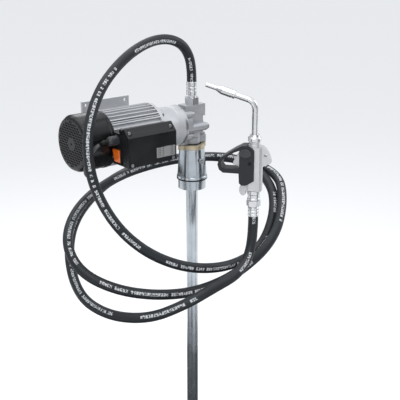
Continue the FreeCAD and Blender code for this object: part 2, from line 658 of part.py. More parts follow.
def rotating_parts():
    node("motor_shaft", turned("MotorShaft", [
        (0, -287), (7, -287), (7, -243.3), ("shaftRadius", -243.3), ("shaftRadius", -232),
        (9, -232), (9, -113.2), ("shaftRadius", -113.2), ("shaftRadius", -97),
        ("pumpShaft", -96), ("pumpShaft", -16), (0, -16),
    ], 0, 0, "axisHeight", ALONG_X))
    node("rotor_core", turned("RotorCore", [
        (9, "stackRear"), (19, "stackRear - 6"), ("rotorRadius - 1", "stackRear - 6"),
        ("rotorRadius", "stackRear"), ("rotorRadius", "stackFront"),
        ("rotorRadius - 1", "stackFront + 6"), (19, "stackFront + 6"), (9, "stackFront"),
    ], 0, 0, "axisHeight", ALONG_X))
    solids = [x_cylinder("FanHub", 13, -284, -262), x_cylinder("FanDisc", 40, -268, -265)]
    for index in range(int(val("bladeCount"))):
        blade = block(f"Blade{index}", -284, -266, -1, 1, "axisHeight + 11",
                      "axisHeight + fanRadius")
        solids.append(around_axis(blade, 360 / val("bladeCount") * index))
    bore = x_cylinder("FanBore", 7, -290, -260)
    node("fan", cut("Fan", fuse("FanSolid", solids), [bore]))


def fan_cover():
    rim, wall, face = "finRadius", "coverWall", "coverFace"
    cup = turned("CoverCup", [
        (0, face), ("coverFaceRadius - 4", face), ("coverFaceRadius + 2", f"{face} + 2.5"),
        (rim, f"{face} + 9"), (rim, "housingRear - 8"), ("finRadius + 0.8", "housingRear - 7"),
        ("finRadius + 0.8", "housingRear - 0.2"), ("finRadius - 0.7", "housingRear - 0.2"),
        ("finRadius - 0.7", "housingRear - 8"), (f"{rim} - {wall}", "housingRear - 10"),
        (f"{rim} - {wall}", f"{face} + 9"), ("coverFaceRadius - 1", f"{face} + 3.6"),
        ("coverFaceRadius - 5", f"{face} + {wall}"), (0, f"{face} + {wall}"),
    ], 0, 0, "axisHeight", ALONG_X)
    cutters = [Part.makeCylinder(2.2, 12, Vector(val(face) - 4, 0, 0), Vector(1, 0, 0))]
    pitch = val("holePitch")
    reach = val("coverFaceRadius") - 6
    rows = int(reach / (pitch * math.sqrt(0.75)))
    for row in range(-rows, rows + 1):
        rise = row * pitch * math.sqrt(0.75)
        for column in range(-12, 13):
            side = (column + 0.5 * (row % 2)) * pitch
            if val("hubRadius") < math.hypot(side, rise) < reach:
                start = Vector(val(face) - 4, side, rise)
                cutters.append(Part.makeCylinder(val("holeRadius"), 12, start, Vector(1, 0, 0)))
    place = Placement(Vector(0, 0, val("axisHeight")), UPRIGHT)
    holes = [feature("CoverGrille", Part.makeCompound(cutters), place)]
    for degrees in (0, 115, 245):
        hole = cylinder(f"CoverHole{degrees}", 2, 10, -235.5, 0, "axisHeight + finRadius - 5")
        holes.append(around_axis(hole, degrees))
    cover = doc.addObject("Part::Cut", "FanCover")
    cover.Base = cup
    cover.Tool = group("CoverCutters", holes)
    node("fan_cover", cover)
    screws = []
    for degrees in (0, 115, 245):
        shank = cylinder(f"CoverShank{degrees}", 1.55, 12, -235.5, 0,
                         "axisHeight + finRadius - 10.5")
        head = cone(f"CoverHead{degrees}", 3.4, 2.2, 1.8, -235.5, 0,
                    "axisHeight + finRadius + 0.85")
        screws.append(around_axis(fuse(f"CoverScrew{degrees}", [shank, head]), degrees))
    node("fan_cover_screws", group("FanCoverScrews", screws))


# Terminal box

def terminal_box():
    right = "boxLeft + boxLength"
    base = block("BaseShell", "boxLeft + 1", f"{right} - 1", "lidBack", "boxBack",
                 "boxFloor", "baseTop")
    inside = block("BaseHollow", "boxLeft + 1 + boxWall", f"{right} - 1 - boxWall",
                   "lidBack - 1", "boxBack - boxWall", "boxFloor + boxWall",
                   "baseTop - boxWall")
    rocker_hole = block("RockerHole", "boxLeft - 5", "boxLeft + 10",
                        "rockerY - rockerWide / 2 - 1.5", "rockerY + rockerWide / 2 + 1.5",
                        "rockerZ - rockerTall / 2 - 1.5", "rockerZ + rockerTall / 2 + 1.5")
    gland_hole = x_cylinder("GlandHole", 8, "boxLeft - 5", "boxLeft + 10", "glandY", "glandZ")
    passage = cylinder("BasePassage", 7, 10, -182, "boxBack - 5", 125, ALONG_Y)
    posts = []
    for side, x in screw_sides():
        posts.append(cylinder(f"LowPost{side}", 4.5, 6.5, x, "lidBack", "lowScrew", ALONG_Y))
        posts.append(cylinder(f"HighPost{side}", 5.5, 16, x, "lidBack", "highScrew",
                              ALONG_Y))
    hollow_base = cut("BaseOpened", base, [inside, rocker_hole, gland_hole, passage])
    shanks = screw_bores("BaseScrewHole", 1.95)
    node("terminal_box_base", cut("TerminalBoxBase", fuse("BaseSolid", [hollow_base] + posts),
                                  shanks))
    lid = padded("LidBlock", "YZ_Plane", [
        ("lidFront", "boxFloor + 1.5"), ("lidFront + 1.5", "boxFloor"),
        ("lidBack", "boxFloor"), ("lidBack", "lidTop"), ("lidFront + lidSlope", "lidTop"),
        ("lidFront", "lidTop - lidSlope"),
    ], "boxLength", "boxLeft + boxLength / 2")
    cavity = block("LidHollow", "boxLeft + boxWall", f"{right} - boxWall",
                   "lidFront + boxWall", "lidBack + 1", "boxFloor + 10", "baseTop - 5")
    sinks = []
    for side, x in screw_sides():
        sinks.append(cylinder(f"LowSink{side}", 4, 6, x, "lidFront - 4.8", "lowScrew",
                              ALONG_Y))
        sinks.append(cylinder(f"HighSink{side}", 4.6, 24, x, "lidFront - 14", "highScrew",
                              ALONG_Y))
    holes = screw_bores("LidScrewHole", 2)
    node("terminal_box_lid", cut("TerminalBoxLid", lid, [cavity] + sinks + holes))
    box_screws()


def screw_sides():
    return (("Left", "boxLeft + screwInset"), ("Right", "boxLeft + boxLength - screwInset"))


def screw_bores(name, radius):
    bores = []
    for side, x in screw_sides():
        for row in ("lowScrew", "highScrew"):
            bores.append(cylinder(f"{name}{side}{row}", radius, 40, x, "lidFront - 2", row,
                                  ALONG_Y))
    return bores


def box_screws():
    screws = []
    for side, x in screw_sides():
        for row, depth, bite in (("lowScrew", "lidFront + 1.2", 6),
                                 ("highScrew", "lidFront + 10", 12)):
            head = cylinder(f"BoxHead{side}{row}", 3.4, 2.2, x, f"{depth} - 2.2", row, ALONG_Y)
            shank = cylinder(f"BoxShank{side}{row}", 1.9, f"lidBack + {bite} - ({depth})", x,
                             depth, row, ALONG_Y)
            slot = block(f"BoxSlot{side}{row}", f"{x} - 2.6", f"{x} + 2.6", f"{depth} - 3",
                         f"{depth} - 1.2", f"{row} - 0.5", f"{row} + 0.5")
            cross = block(f"BoxCross{side}{row}", f"{x} - 0.5", f"{x} + 0.5", f"{depth} - 3",
                          f"{depth} - 1.2", f"{row} - 2.6", f"{row} + 2.6")
            screws.append(cut(f"BoxScrew{side}{row}",
                              fuse(f"BoxScrewSolid{side}{row}", [head, shank]),
                              [slot, cross]))
    node("terminal_box_screws", group("TerminalBoxScrews", screws))


def electrics():
    half_wide = "rockerWide / 2"
    half_tall = "rockerTall / 2"
    bezel = block("SwitchBezel", "boxLeft - 1.5", "boxLeft + 0.95", f"rockerY - {half_wide} - 3",
                  f"rockerY + {half_wide} + 3", f"rockerZ - {half_tall} - 3",
                  f"rockerZ + {half_tall} + 3")
    case = block("SwitchCase", "boxLeft + 0.5", "boxLeft + 20", f"rockerY - {half_wide} - 1.4",
                 f"rockerY + {half_wide} + 1.2", f"rockerZ - {half_tall} - 0.9",
                 f"rockerZ + {half_tall} + 1.4")
    well = block("SwitchWell", "boxLeft - 5", "boxLeft + 12", f"rockerY - {half_wide} - 0.3",
                 f"rockerY + {half_wide} + 0.3", f"rockerZ - {half_tall} - 0.6",
                 f"rockerZ + {half_tall} + 0.6")
    node("switch_body", cut("SwitchBody", fuse("SwitchSolid", [bezel, case]), [well]))
    rocker = padded("SwitchRocker", "XZ_Plane", [
        (-5, "rockerTall / 2 - 1"), (-3, 0), (-1.2, "-rockerTall / 2 + 1"),
        (4, "-rockerTall / 2 + 1"), (8, -4), (8, 4), (4, "rockerTall / 2 - 1"),
    ], "rockerWide", "boxLeft", "rockerY", "rockerZ")
    node("switch_rocker", rocker)
    node("cable_gland", cable_gland())
    node("rating_label", block("RatingLabel", "boxLeft + 66", "boxLeft + 111", "lidFront - 0.4",
                               "lidFront", 99.5, 120))


def cable_gland():
    face = "boxLeft + 0.9"
    collar = hexagon("GlandCollar", 19, 4.5, f"{face} - 4.5", "glandY", "glandZ", ALONG_X)
    thread = x_cylinder("GlandThread", 7.9, face, f"{face} + 9", "glandY", "glandZ")
    locknut = hexagon("GlandLocknut", 18, 3.5, "boxLeft + 4.2", "glandY", "glandZ", ALONG_X)
    dome = turned("GlandDome", [
        (0, "glandEnd"), (6, "glandEnd"), (8.6, "glandEnd + 3"), (9.4, "glandEnd + 6"),
        (9.4, f"{face} - 4.5"), (0, f"{face} - 4.5"),
    ], 0, "glandY", "glandZ", ALONG_X)
    bore = x_cylinder("GlandBore", "cableRadius", "glandEnd + 1", "boxLeft + 20", "glandY",
                      "glandZ")
    return cut("CableGland", fuse("GlandSolid", [collar, thread, locknut, dome]), [bore])


# Nozzle

def nozzle_frame():
    place = Vector(val("nozzleX"), val("nozzleY"), 0)
    return Placement(place, Rotation(Vector(0, 0, 1), val("nozzleTurn")))


def nozzle_hose_end(frame):
    barrel = turned("NozzleFerrule", [
        (6, "hoseEnd"), ("ferruleRadius - 0.6", "hoseEnd"), ("ferruleRadius", "hoseEnd + 0.8"),
        ("ferruleRadius", "hoseEnd + 5"), ("ferruleRadius - 0.7", "hoseEnd + 5.8"),
        ("ferruleRadius - 0.7", "hoseEnd + 7.2"), ("ferruleRadius", "hoseEnd + 8"),
        ("ferruleRadius", "hoseEnd + 12"), ("ferruleRadius - 0.7", "hoseEnd + 12.8"),
        ("ferruleRadius - 0.7", "hoseEnd + 14.2"), ("ferruleRadius", "hoseEnd + 15"),
        ("ferruleRadius", "hoseEnd + 18"), (9.6, "hoseEnd + 20"), (9.6, -8), (6, -8),
    ], frame=frame)
    prism = hexagon("HoseNutHex", 25, 12, 0, 0, -9, frame=frame)
    flare = turned("HoseNutRound", [
        (0, -9), (13.4, -9), (14.4, -7.8), (14.4, 1.8), (13, 3), (0, 3),
    ], frame=frame)
    common = doc.addObject("Part::MultiCommon", "HoseNutShape")
    common.Shapes = [prism, flare]
    bore = cylinder("HoseNutBore", 6, 20, 0, 0, -12, frame=frame)
    node("hose_ferrule_nozzle", cut("HoseFerruleNozzle", fuse("FerruleSolid", [barrel, common]),
                                    [bore]))
    sleeve = turned("SwivelSleeve", [
        (5.5, 3), (12, 3), (13, 4), (13, 7), (12, 8), (12, 15), (13, 16), (13, 22.5),
        (12.4, 23.2), (7.9, 23.2), (7.9, 35), (5.5, 35),
    ], frame=frame)
    node("swivel_connector", sleeve)


def nozzle_body(frame):
    column = padded("BodyColumn", "XY_Plane", [
        (-16, -8), (-12, -12), (9, -12), (13, -9), (13, 9), (9, 12), (-12, 12), (-16, 8),
    ], 90, 0, 0, 69, frame)
    column_low = padded("BodyFoot", "XZ_Plane", [
        (8, 38), (22, 37), (28, 30), (28.5, 22), (25, 15), (20, 13), (16, 16), (15, 24.2),
        (8, 24.2),
    ], 17, frame=frame)
    hook = padded("BodyHook", "XZ_Plane", [
        (-10, 117), (-17, 116), (-24, 110), (-31, 98), (-35, 84), (-30.5, 81), (-22, 78),
        (-10, 66),
    ], 15, frame=frame)
    top = turned("BodyTop", [
        (0, 110), (12.4, 110), (12.4, 117), (11, 121), (11, 125), (0, 125),
    ], frame=frame)
    hollows = [
        cylinder("BodySwivelBore", 8, 14, 0, 0, 22, frame=frame),
        cylinder("BodyInlet", 4.5, 33, -8, 0, 30, frame=frame),
        cylinder("BodyChamber", 7.5, 12, -13, 0, "stemZ", ALONG_X, frame),
        cylinder("BodySeat", 5, 8, -1.5, 0, "stemZ", ALONG_X, frame),
        cylinder("BodyStemBore", "stemRadius + fitGap", 20, 3, 0, "stemZ", ALONG_X, frame),
        cylinder("BodyPlugBore", 7.5, 5, -17, 0, "stemZ", ALONG_X, frame),
        cylinder("BodyOutlet", 4, 60, 2.4, 0, "stemZ", frame=frame),
        cylinder("BodySpoutBore", 7, 16, 0, 0, 112, frame=frame),
        cylinder("HookHole", 3.2, 30, -23.5, -15, 99, ALONG_Y, frame),
    ]
    node("nozzle_body", cut("NozzleBody", fuse("NozzleSolid", [column, column_low, hook, top]),
                            hollows))


def grip_guard(frame):
    shell = padded("GuardShell", "XZ_Plane", [
        (-2, 46), (-2, 108), (3, 114), (12, 118), (24, 117), (40, 108), (64, 92), (70, 85),
        (72, 76), (69, 66), (61, 60), (29, 60), (28, 40), (23, 35.5), (14, 36),
    ], 29, frame=frame)
    loop = padded("GuardLoop", "XZ_Plane", [
        (28, 107), (38, 103), (60, 88), (65, 82), (65, 74), (61, 69), (28, 69),
    ], 60, frame=frame)
    channel = block("GuardChannel", -20, 13.2, -12.5, 12.5, 30, 125, frame)
    notch = block("GuardNotch", 5, 32, -8.7, 8.7, 30, 38.5, frame)
    slot = block("GuardSlot", 13, 30, -5.5, 5.5, 55, 110, frame)
    pin_hole = cylinder("GuardPinHole", "2.5 + fitGap", 60, "pivotX", -30, "pivotZ", ALONG_Y,
                        frame)
    boss = cylinder("GuardBoss", 9.5, 1.6, "pivotX", 14.4, "pivotZ", ALONG_Y, frame)
    boss_back = cylinder("GuardBossBack", 9.5, 1.6, "pivotX", -16, "pivotZ", ALONG_Y, frame)
    node("grip_guard", cut("GripGuard", fuse("GuardSolid", [shell, boss, boss_back]),
                           [loop, channel, notch, slot, pin_hole]))


def trigger_parts(frame):
    blade = padded("TriggerBlade", "XZ_Plane", [
        (14.5, 98), (15, 105), (20, 107.5), (27, 106), (35, 95), (42, 82), (43, 77),
        (39, 75), (32, 73), (28.5, 66), (27.5, 59), (24, 58), (22, 62), (22, 74), (18, 90),
    ], 10, frame=frame)
    hole = cylinder("TriggerHole", "2.5 + fitGap", 30, "pivotX", -15, "pivotZ", ALONG_Y, frame)
    node("trigger", cut("Trigger", blade, [hole]))
    node("trigger_pin", cylinder("TriggerPin", 2.5, 31.4, "pivotX", -15.7, "pivotZ", ALONG_Y,
                                 frame))
    node("valve_stem", turned("ValveStem", [
        (0, -4.4), (3, -4.4), (7.2, -4.4), (7.2, -1.6), (5.2, -1.6), (4.4, -0.8),
        ("stemRadius", -0.8), ("stemRadius", 20.6), (1.6, 21.6), (0, 21.6),
    ], 0, 0, "stemZ", ALONG_X, frame))
    spring = spring_shape(5.2, 0.6, 7.4, 5)
    place = frame.multiply(Placement(Vector(-12.4, 0, val("stemZ")), ALONG_X))
    node("valve_spring", feature("ValveSpring", spring, place))
    node("valve_plug", turned("ValvePlug", [
        (0, -16), (7.45, -16), (7.45, -13.1), (0, -13.1),
    ], 0, 0, "stemZ", ALONG_X, frame))


def spout(frame):
    nut = hexagon("SpoutNutHex", 23, 9, 0, 0, 125, frame=frame)
    dome = turned("SpoutNutDome", [
        (0, 125), (12, 125), (13, 126), (13, 132), (10.5, 135), (9, 139), (0, 139),
    ], frame=frame)
    shape = fuse("SpoutNutSolid", [nut, dome])
    spigot = cylinder("SpoutSpigot", 6.9, 12, 0, 0, 113.5, frame=frame)
    bore = cylinder("SpoutNutBore", "spoutRadius", 40, 0, 0, 110, frame=frame)
    node("spout_nut", cut("SpoutNut", fuse("SpoutNutAll", [shape, spigot]), [bore]))
    rise = math.radians(val("spoutRise"))
    ahead = Vector(math.cos(rise), 0, math.sin(rise))
    corner = Vector(0, 0, val("cornerZ"))
    turn = math.pi / 2 - rise
    reach = val("spoutBend") * math.tan(turn / 2)
    start = corner - Vector(0, 0, reach)
    end = corner + ahead * reach
    inward = (ahead - Vector(0, 0, 1)).normalize()
    centre = corner + inward * math.hypot(reach, val("spoutBend"))
    middle = centre - inward * val("spoutBend")
    foot = Vector(0, 0, 116)
    tip = corner + ahead * 76
    path = Part.Wire([
        Part.LineSegment(foot, start).toShape(), Part.Arc(start, middle, end).toShape(),
        Part.LineSegment(end, tip).toShape(),
    ])
    walls = [path.makePipeShell([Part.Wire(Part.makeCircle(radius, foot, Vector(0, 0, 1)))],
                                True, False)
             for radius in (val("spoutRadius"), val("spoutBore"))]
    node("spout_tube", feature("SpoutTube", walls[0].cut(walls[1]), frame))
    along = Rotation(Vector(0, 1, 0), 90 - val("spoutRise"))
    tip_frame = frame.multiply(Placement(corner, along))
    node("tip_sleeve", turned("TipSleeve", [
        ("spoutRadius + fitGap", 41), (7.6, 41), (8.6, 42), (8.6, 46), (8, 46.6), (8, 49),
        (8.5, 49.6), (8.5, 68), (6.9, 75.7), ("spoutRadius + fitGap", 75.7),
    ], frame=tip_frame))
    node("tip_spout", turned("TipSpout", [
        (3, 76), ("spoutRadius", 76), ("spoutRadius", 78), (4.6, 80.6), (4.6, 103), (3, 103),
    ], frame=tip_frame))


# Hose and mains lead

def cords():
    node("delivery_hose", feature("DeliveryHose", tube_shape(
        "delivery hose", HOSE_ROUTE, val("hoseRadius"))))
    node("mains_cable", feature("MainsCable", tube_shape(
        "mains cable", CABLE_ROUTE, val("cableRadius"))))
    node("cable_coil", turned("CableCoil", [
        ("coilInner", "-coilWidth / 2 + 4"), ("coilInner + 4", "-coilWidth / 2"),
        ("coilOuter - 4", "-coilWidth / 2"), ("coilOuter", "-coilWidth / 2 + 4"),
        ("coilOuter", "coilWidth / 2 - 4"), ("coilOuter - 4", "coilWidth / 2"),
        ("coilInner + 4", "coilWidth / 2"), ("coilInner", "coilWidth / 2 - 4"),
    ], "coilX", "coilY", "coilZ", ALONG_Y))
    plug = turned("PlugShell", [
        (0, -35), (4.4, -35), (5.4, -21), (10, -20), (15, -16), (16, -8), (16, 4), (14, 8.5),
        (0, 8.5),
    ], "plugX", "plugY", "plugZ", ALONG_X)
    pins = [x_cylinder(f"PlugPin{index}", 2.4, "plugX + 8", "plugX + 27",
                       f"plugY + ({9.5 - 19 * index})", "plugZ") for index in range(2)]
    node("mains_plug", fuse("MainsPlug", [plug] + pins))


def check(obj):
    """Stops the build at the first object that failed."""
    bad = [state for state in obj.State if state in ("Invalid", "Error")]
    if bad:
        raise RuntimeError(f"{obj.Name} ({obj.Label}) is {bad}")


def write_parts():
    doc.recompute()
    for obj in doc.Objects:
        check(obj)
    for name, obj in nodes.items():
        shape = obj.Shape
        if shape.isNull() or not shape.isValid() or not shape.Solids:
            raise RuntimeError(f"{name} has no valid solid")
        if obj.Label != name:
            raise RuntimeError(f"{name} is labelled {obj.Label}")
    os.makedirs("parts", exist_ok=True)
    for name, obj in nodes.items():
        obj.Shape.exportStep(os.path.join("parts", name + ".step"))
    print(len(nodes), "sub-parts written")


fill_sheet()
bung_connector()
suction_flanges()
suction_line()
pump_body()
pump_plate()
gerotor()
bypass_valve()
delivery_fittings()
lantern()
motor_housing()
node("top_rail", foot_rail("TopRail", 1))
node("bottom_rail", foot_rail("BottomRail", -1))
motor_inside()
tie_bolts()
rotating_parts()
fan_cover()
terminal_box()
electrics()
nozzle_placement = nozzle_frame()
nozzle_hose_end(nozzle_placement)
nozzle_body(nozzle_placement)
grip_guard(nozzle_placement)
trigger_parts(nozzle_placement)
spout(nozzle_placement)
cords()
write_parts()
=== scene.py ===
import json
import math

import bpy
from mathutils import Matrix, Vector

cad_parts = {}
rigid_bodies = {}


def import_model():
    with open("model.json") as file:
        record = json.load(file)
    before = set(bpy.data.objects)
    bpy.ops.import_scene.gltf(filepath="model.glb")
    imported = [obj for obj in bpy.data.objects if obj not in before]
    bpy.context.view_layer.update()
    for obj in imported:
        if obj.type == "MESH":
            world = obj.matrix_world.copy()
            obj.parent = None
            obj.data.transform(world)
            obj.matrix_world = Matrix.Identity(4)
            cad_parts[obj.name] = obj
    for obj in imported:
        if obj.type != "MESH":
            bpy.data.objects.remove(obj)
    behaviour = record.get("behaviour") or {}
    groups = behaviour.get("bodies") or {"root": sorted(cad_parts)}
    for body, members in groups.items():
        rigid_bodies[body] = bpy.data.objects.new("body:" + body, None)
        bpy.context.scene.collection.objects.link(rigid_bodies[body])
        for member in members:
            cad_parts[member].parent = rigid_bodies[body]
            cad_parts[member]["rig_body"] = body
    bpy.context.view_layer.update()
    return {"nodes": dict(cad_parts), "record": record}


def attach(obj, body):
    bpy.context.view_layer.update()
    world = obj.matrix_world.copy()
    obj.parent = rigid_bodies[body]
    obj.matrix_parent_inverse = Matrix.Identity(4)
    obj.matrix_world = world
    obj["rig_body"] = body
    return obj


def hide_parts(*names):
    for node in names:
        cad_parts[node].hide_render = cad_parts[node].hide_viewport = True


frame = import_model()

nodes = frame["nodes"]


def editMode():
    bpy.ops.object.mode_set(mode="EDIT")


def objectMode():
    bpy.ops.object.mode_set(mode="OBJECT")


def deselectAll():
    if bpy.context.object and bpy.context.object.mode != "OBJECT":
        objectMode()
    bpy.ops.object.select_all(action="DESELECT")


def makeActive(piece):
    deselectAll()
    piece.select_set(True)
    bpy.context.view_layer.objects.active = piece


def applyModifiers(piece):
    makeActive(piece)
    for modifier in list(piece.modifiers):
        bpy.ops.object.modifier_apply(modifier=modifier.name)


def bakePlace(piece):
    makeActive(piece)
    bpy.ops.object.transform_apply(location=True, rotation=True, scale=True)


# camera

camera = {"place": (-1.2186, -1.5492, 0.5938), "back": (-0.5943, -0.7418, 0.3109),
          "right": (0.7804, -0.6252, 0), "lens": 84.77, "sensor": 36, "near": 0.05, "far": 60}


def addCamera():
    data = bpy.data.cameras.new("viewCamera")
    data.lens = camera["lens"]
    data.sensor_width = camera["sensor"]
    data.clip_start = camera["near"]
    data.clip_end = camera["far"]
    eye = bpy.data.objects.new("viewCamera", data)
    bpy.context.scene.collection.objects.link(eye)
    back = Vector(camera["back"]).normalized()
    right = Vector(camera["right"]).normalized()
    up = back.cross(right)
    turn = Matrix((right, up, back)).transposed()
    eye.matrix_world = Matrix.Translation(camera["place"]) @ turn.to_4x4()
    bpy.context.scene.camera = eye
    print("camera")


# cords: the delivery hose and the mains lead

hose = {
    "diameter": 0.0205, "sides": 28, "step": 0.005, "length": 3.85,
    "faceWay": (-0.594, -0.742, 0.309),
    "route": [
        (0, 0, 0.213), (0, 0, 0.241), (-0.009, -0.001, 0.273), (-0.033, -0.003, 0.299),
        (-0.076, -0.006, 0.312), (-0.131, -0.011, 0.306), (-0.194, -0.02, 0.278),
        (-0.257, -0.038, 0.232), (-0.303, -0.066, 0.168), (-0.311, -0.078, 0.098),
        (-0.299, -0.094, 0.033), (-0.268, -0.12, -0.033), (-0.217, -0.155, -0.085),
        (-0.139, -0.182, -0.122), (-0.025, -0.17, -0.147), (0.055, -0.17, -0.125),
        (0.113, -0.147, -0.063), (0.155, -0.088, -0.017), (0.149, 0.007, 0.017),
        (0.091, 0.079, 0.018), (-0.007, 0.116, 0.011), (-0.131, 0.111, 0),
        (-0.256, 0.06, -0.026), (-0.325, 0.001, -0.07), (-0.332, -0.061, -0.116),
        (-0.291, -0.126, -0.144), (-0.222, -0.174, -0.159), (-0.13, -0.19, -0.169),
        (-0.027, -0.196, -0.152), (0.067, -0.197, -0.101), (0.132, -0.153, -0.039),
        (0.178, -0.084, 0), (0.176, 0.062, 0.004), (0.064, 0.146, 0.006),
        (-0.084, 0.16, -0.008), (-0.219, 0.114, -0.054), (-0.282, 0.067, -0.114),
        (-0.314, -0.019, -0.184), (-0.301, -0.11, -0.202), (-0.253, -0.185, -0.196),
        (-0.19, -0.225, -0.167), (-0.12, -0.228, -0.149), (-0.062, -0.222, -0.142),
        (-0.022, -0.213, -0.118), (-0.004, -0.206, -0.076), (-0.004, -0.206, -0.031),
    ],
}

lead = {
    "diameter": 0.0075, "sides": 16, "step": 0.0022, "faceWay": (0, -1, 0),
    "route": [
        (-0.262, -0.071, 0.138), (-0.271, -0.071, 0.138), (-0.283, -0.07, 0.134),
        (-0.292, -0.0675, 0.125), (-0.298, -0.0635, 0.113), (-0.301, -0.0575, 0.1005),
        (-0.3, -0.0495, 0.088), (-0.295, -0.04, 0.076), (-0.286, -0.029, 0.066),
        (-0.275, -0.0165, 0.0595), (-0.263, -0.003, 0.0565), (-0.254, 0.012, 0.0565),
        (-0.249, 0.028, 0.059), (-0.248, 0.044, 0.063), (-0.247, 0.059, 0.066),
        (-0.24, 0.071, 0.0675), (-0.228, 0.0775, 0.068), (-0.213, 0.077, 0.0685),
        (-0.199, 0.0735, 0.07), (-0.185, 0.0705, 0.073),
    ],
    # crossing: the share of a turn in which the lead moves over to the next one
    # inset: a curve through points on a circle runs this much inside it
    "coilCentre": (-0.172, 0.0775, 0.122), "turnPoints": 16, "crossing": 0.28,
    "wander": 0.0002, "inset": 0.981,
    "turns": [(0.046, -0.0076), (0.038, -0.0076), (0.038, 0), (0.046, 0), (0.046, 0.0076),
              (0.038, 0.0076)],
    "tail": [(-0.2095, 0.0895, 0.110), (-0.205, 0.097, 0.098), (-0.196, 0.103, 0.0905),
             (-0.185, 0.1045, 0.088)],
}


def splineThrough(name, points):
    curve = bpy.data.curves.new(name + "Line", "CURVE")
    curve.dimensions = "3D"
    spline = curve.splines.new("NURBS")
    spline.points.add(len(points) - 1)
    for target, point in zip(spline.points, points):
        target.co = (*point, 1)
    spline.order_u = 3
    spline.use_endpoint_u = True
    spline.resolution_u = 12
    line = bpy.data.objects.new(name + "Line", curve)
    bpy.context.scene.collection.objects.link(line)
    bpy.context.view_layer.update()
    mesh = bpy.data.meshes.new_from_object(line)
    path = [vertex.co.copy() for vertex in mesh.vertices]
    bpy.data.objects.remove(line)
    bpy.data.meshes.remove(mesh)
    return path


def evenPath(path, step, shortest=0.4):
    # points about step apart; a last step shorter than that share of it is left out
    spaced = [path[0]]
    walked = 0
    for start, end in zip(path, path[1:]):
        walked += (end - start).length
        if walked >= step:
            spaced.append(end)
            walked = 0
    if (spaced[-1] - path[-1]).length < step * shortest:
        spaced.pop()
    spaced.append(path[-1])
    return spaced


# the middle of a tube's map drifts towards faceWay, where the tube isn't seen end on
mapDrift = {"least": 0.25, "pull": 0.08}


def tubeAlong(name, path, radius, sides, faceWay, endRadius=None):
    # a skin round the path; its map goes once round it, and along it in metres
    endRadius = endRadius or radius
    face = Vector(faceWay)
    heading = (path[1] - path[0]).normalized()
    side = (face - heading * face.dot(heading)).normalized()
    rings = []
    lengths = [0]
    for index, point in enumerate(path):
        before = path[max(index - 1, 0)]
        after = path[min(index + 1, len(path) - 1)]
        heading = (after - before).normalized()
        side = (side - heading * side.dot(heading)).normalized()
        wanted = face - heading * face.dot(heading)
        if wanted.length > mapDrift["least"]:
            side = side.lerp(wanted.normalized(), mapDrift["pull"]).normalized()
        across = heading.cross(side)
        ring = []
        wide = radius + (endRadius - radius) * index / (len(path) - 1)
        for step in range(sides):
            angle = 2 * math.pi * step / sides
            ring.append(point - wide * (side * math.cos(angle) + across * math.sin(angle)))
        rings.append(ring)
        if index:
            lengths.append(lengths[-1] + (point - before).length)
    vertices = [vertex for ring in rings for vertex in ring]
    faces = []
    corners = []
    for index in range(len(rings) - 1):
        for step in range(sides):
            following = (step + 1) % sides
            low = index * sides
            high = low + sides
            faces.append((low + step, low + following, high + following, high + step))
            near, far = step / sides, (step + 1) / sides
            corners.append(((near, lengths[index]), (far, lengths[index]),
                            (far, lengths[index + 1]), (near, lengths[index + 1])))
    faces.append(tuple(reversed(range(sides))))
    faces.append(tuple(range(len(vertices) - sides, len(vertices))))
    corners.append(tuple((0.5, 0) for step in range(sides)))
    corners.append(tuple((0.5, lengths[-1]) for step in range(sides)))
    mesh = bpy.data.meshes.new(name)
    mesh.from_pydata(vertices, [], faces)
    wrap = mesh.uv_layers.new(name="alongTube")
    for polygon, around in zip(mesh.polygons, corners):
        for loop, corner in zip(polygon.loop_indices, around):
            wrap.data[loop].uv = corner
    piece = bpy.data.objects.new(name, mesh)
    bpy.context.scene.collection.objects.link(piece)
    makeActive(piece)
    editMode()
    bpy.ops.mesh.select_all(action="SELECT")
    bpy.ops.mesh.normals_make_consistent(inside=False)
    objectMode()
    bpy.ops.object.shade_smooth_by_angle(angle=math.radians(50))
    return piece, lengths[-1]


def coilPoints():
    # turns of the tied coil: each lies beside the last, one lead's width away
    centre = Vector(lead["coilCentre"])
    turns = lead["turns"]
    count = lead["turnPoints"]
    crossing = lead["crossing"]
    points = []
    total = int(count * (len(turns) - crossing))
    for index in range(1, total):
        now = index / count
        turn = int(now)
        part = now - turn
        radius, offset = turns[turn]
        if part > 1 - crossing and turn + 1 < len(turns):
            blend = (part - (1 - crossing)) / crossing
            blend = blend * blend * (3 - 2 * blend)
            nextRadius, nextOffset = turns[turn + 1]
            radius += (nextRadius - radius) * blend
            offset += (nextOffset - offset) * blend
        angle = 2 * math.pi * now
        wander = lead["wander"] * math.sin(3 * angle + turn)
        reach = (radius + wander) / lead["inset"]
        points.append(centre + Vector((reach * math.sin(angle), offset, -reach * math.cos(angle))))
    return [tuple(point) for point in points]


def addHose():
    path = evenPath(splineThrough("hose", hose["route"]), hose["step"])
    piece, length = tubeAlong("deliveryHose", path, hose["diameter"] / 2, hose["sides"],
                              hose["faceWay"])
    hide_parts("delivery_hose")
    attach(piece, "frame")
    print("hose", round(length, 3))
    return piece


strainSleeve = {"length": 0.022, "start": 0.0052, "end": 0.0042, "sides": 20,
                "grooveEvery": 3, "deep": 0.0004, "edge": 0.0002}


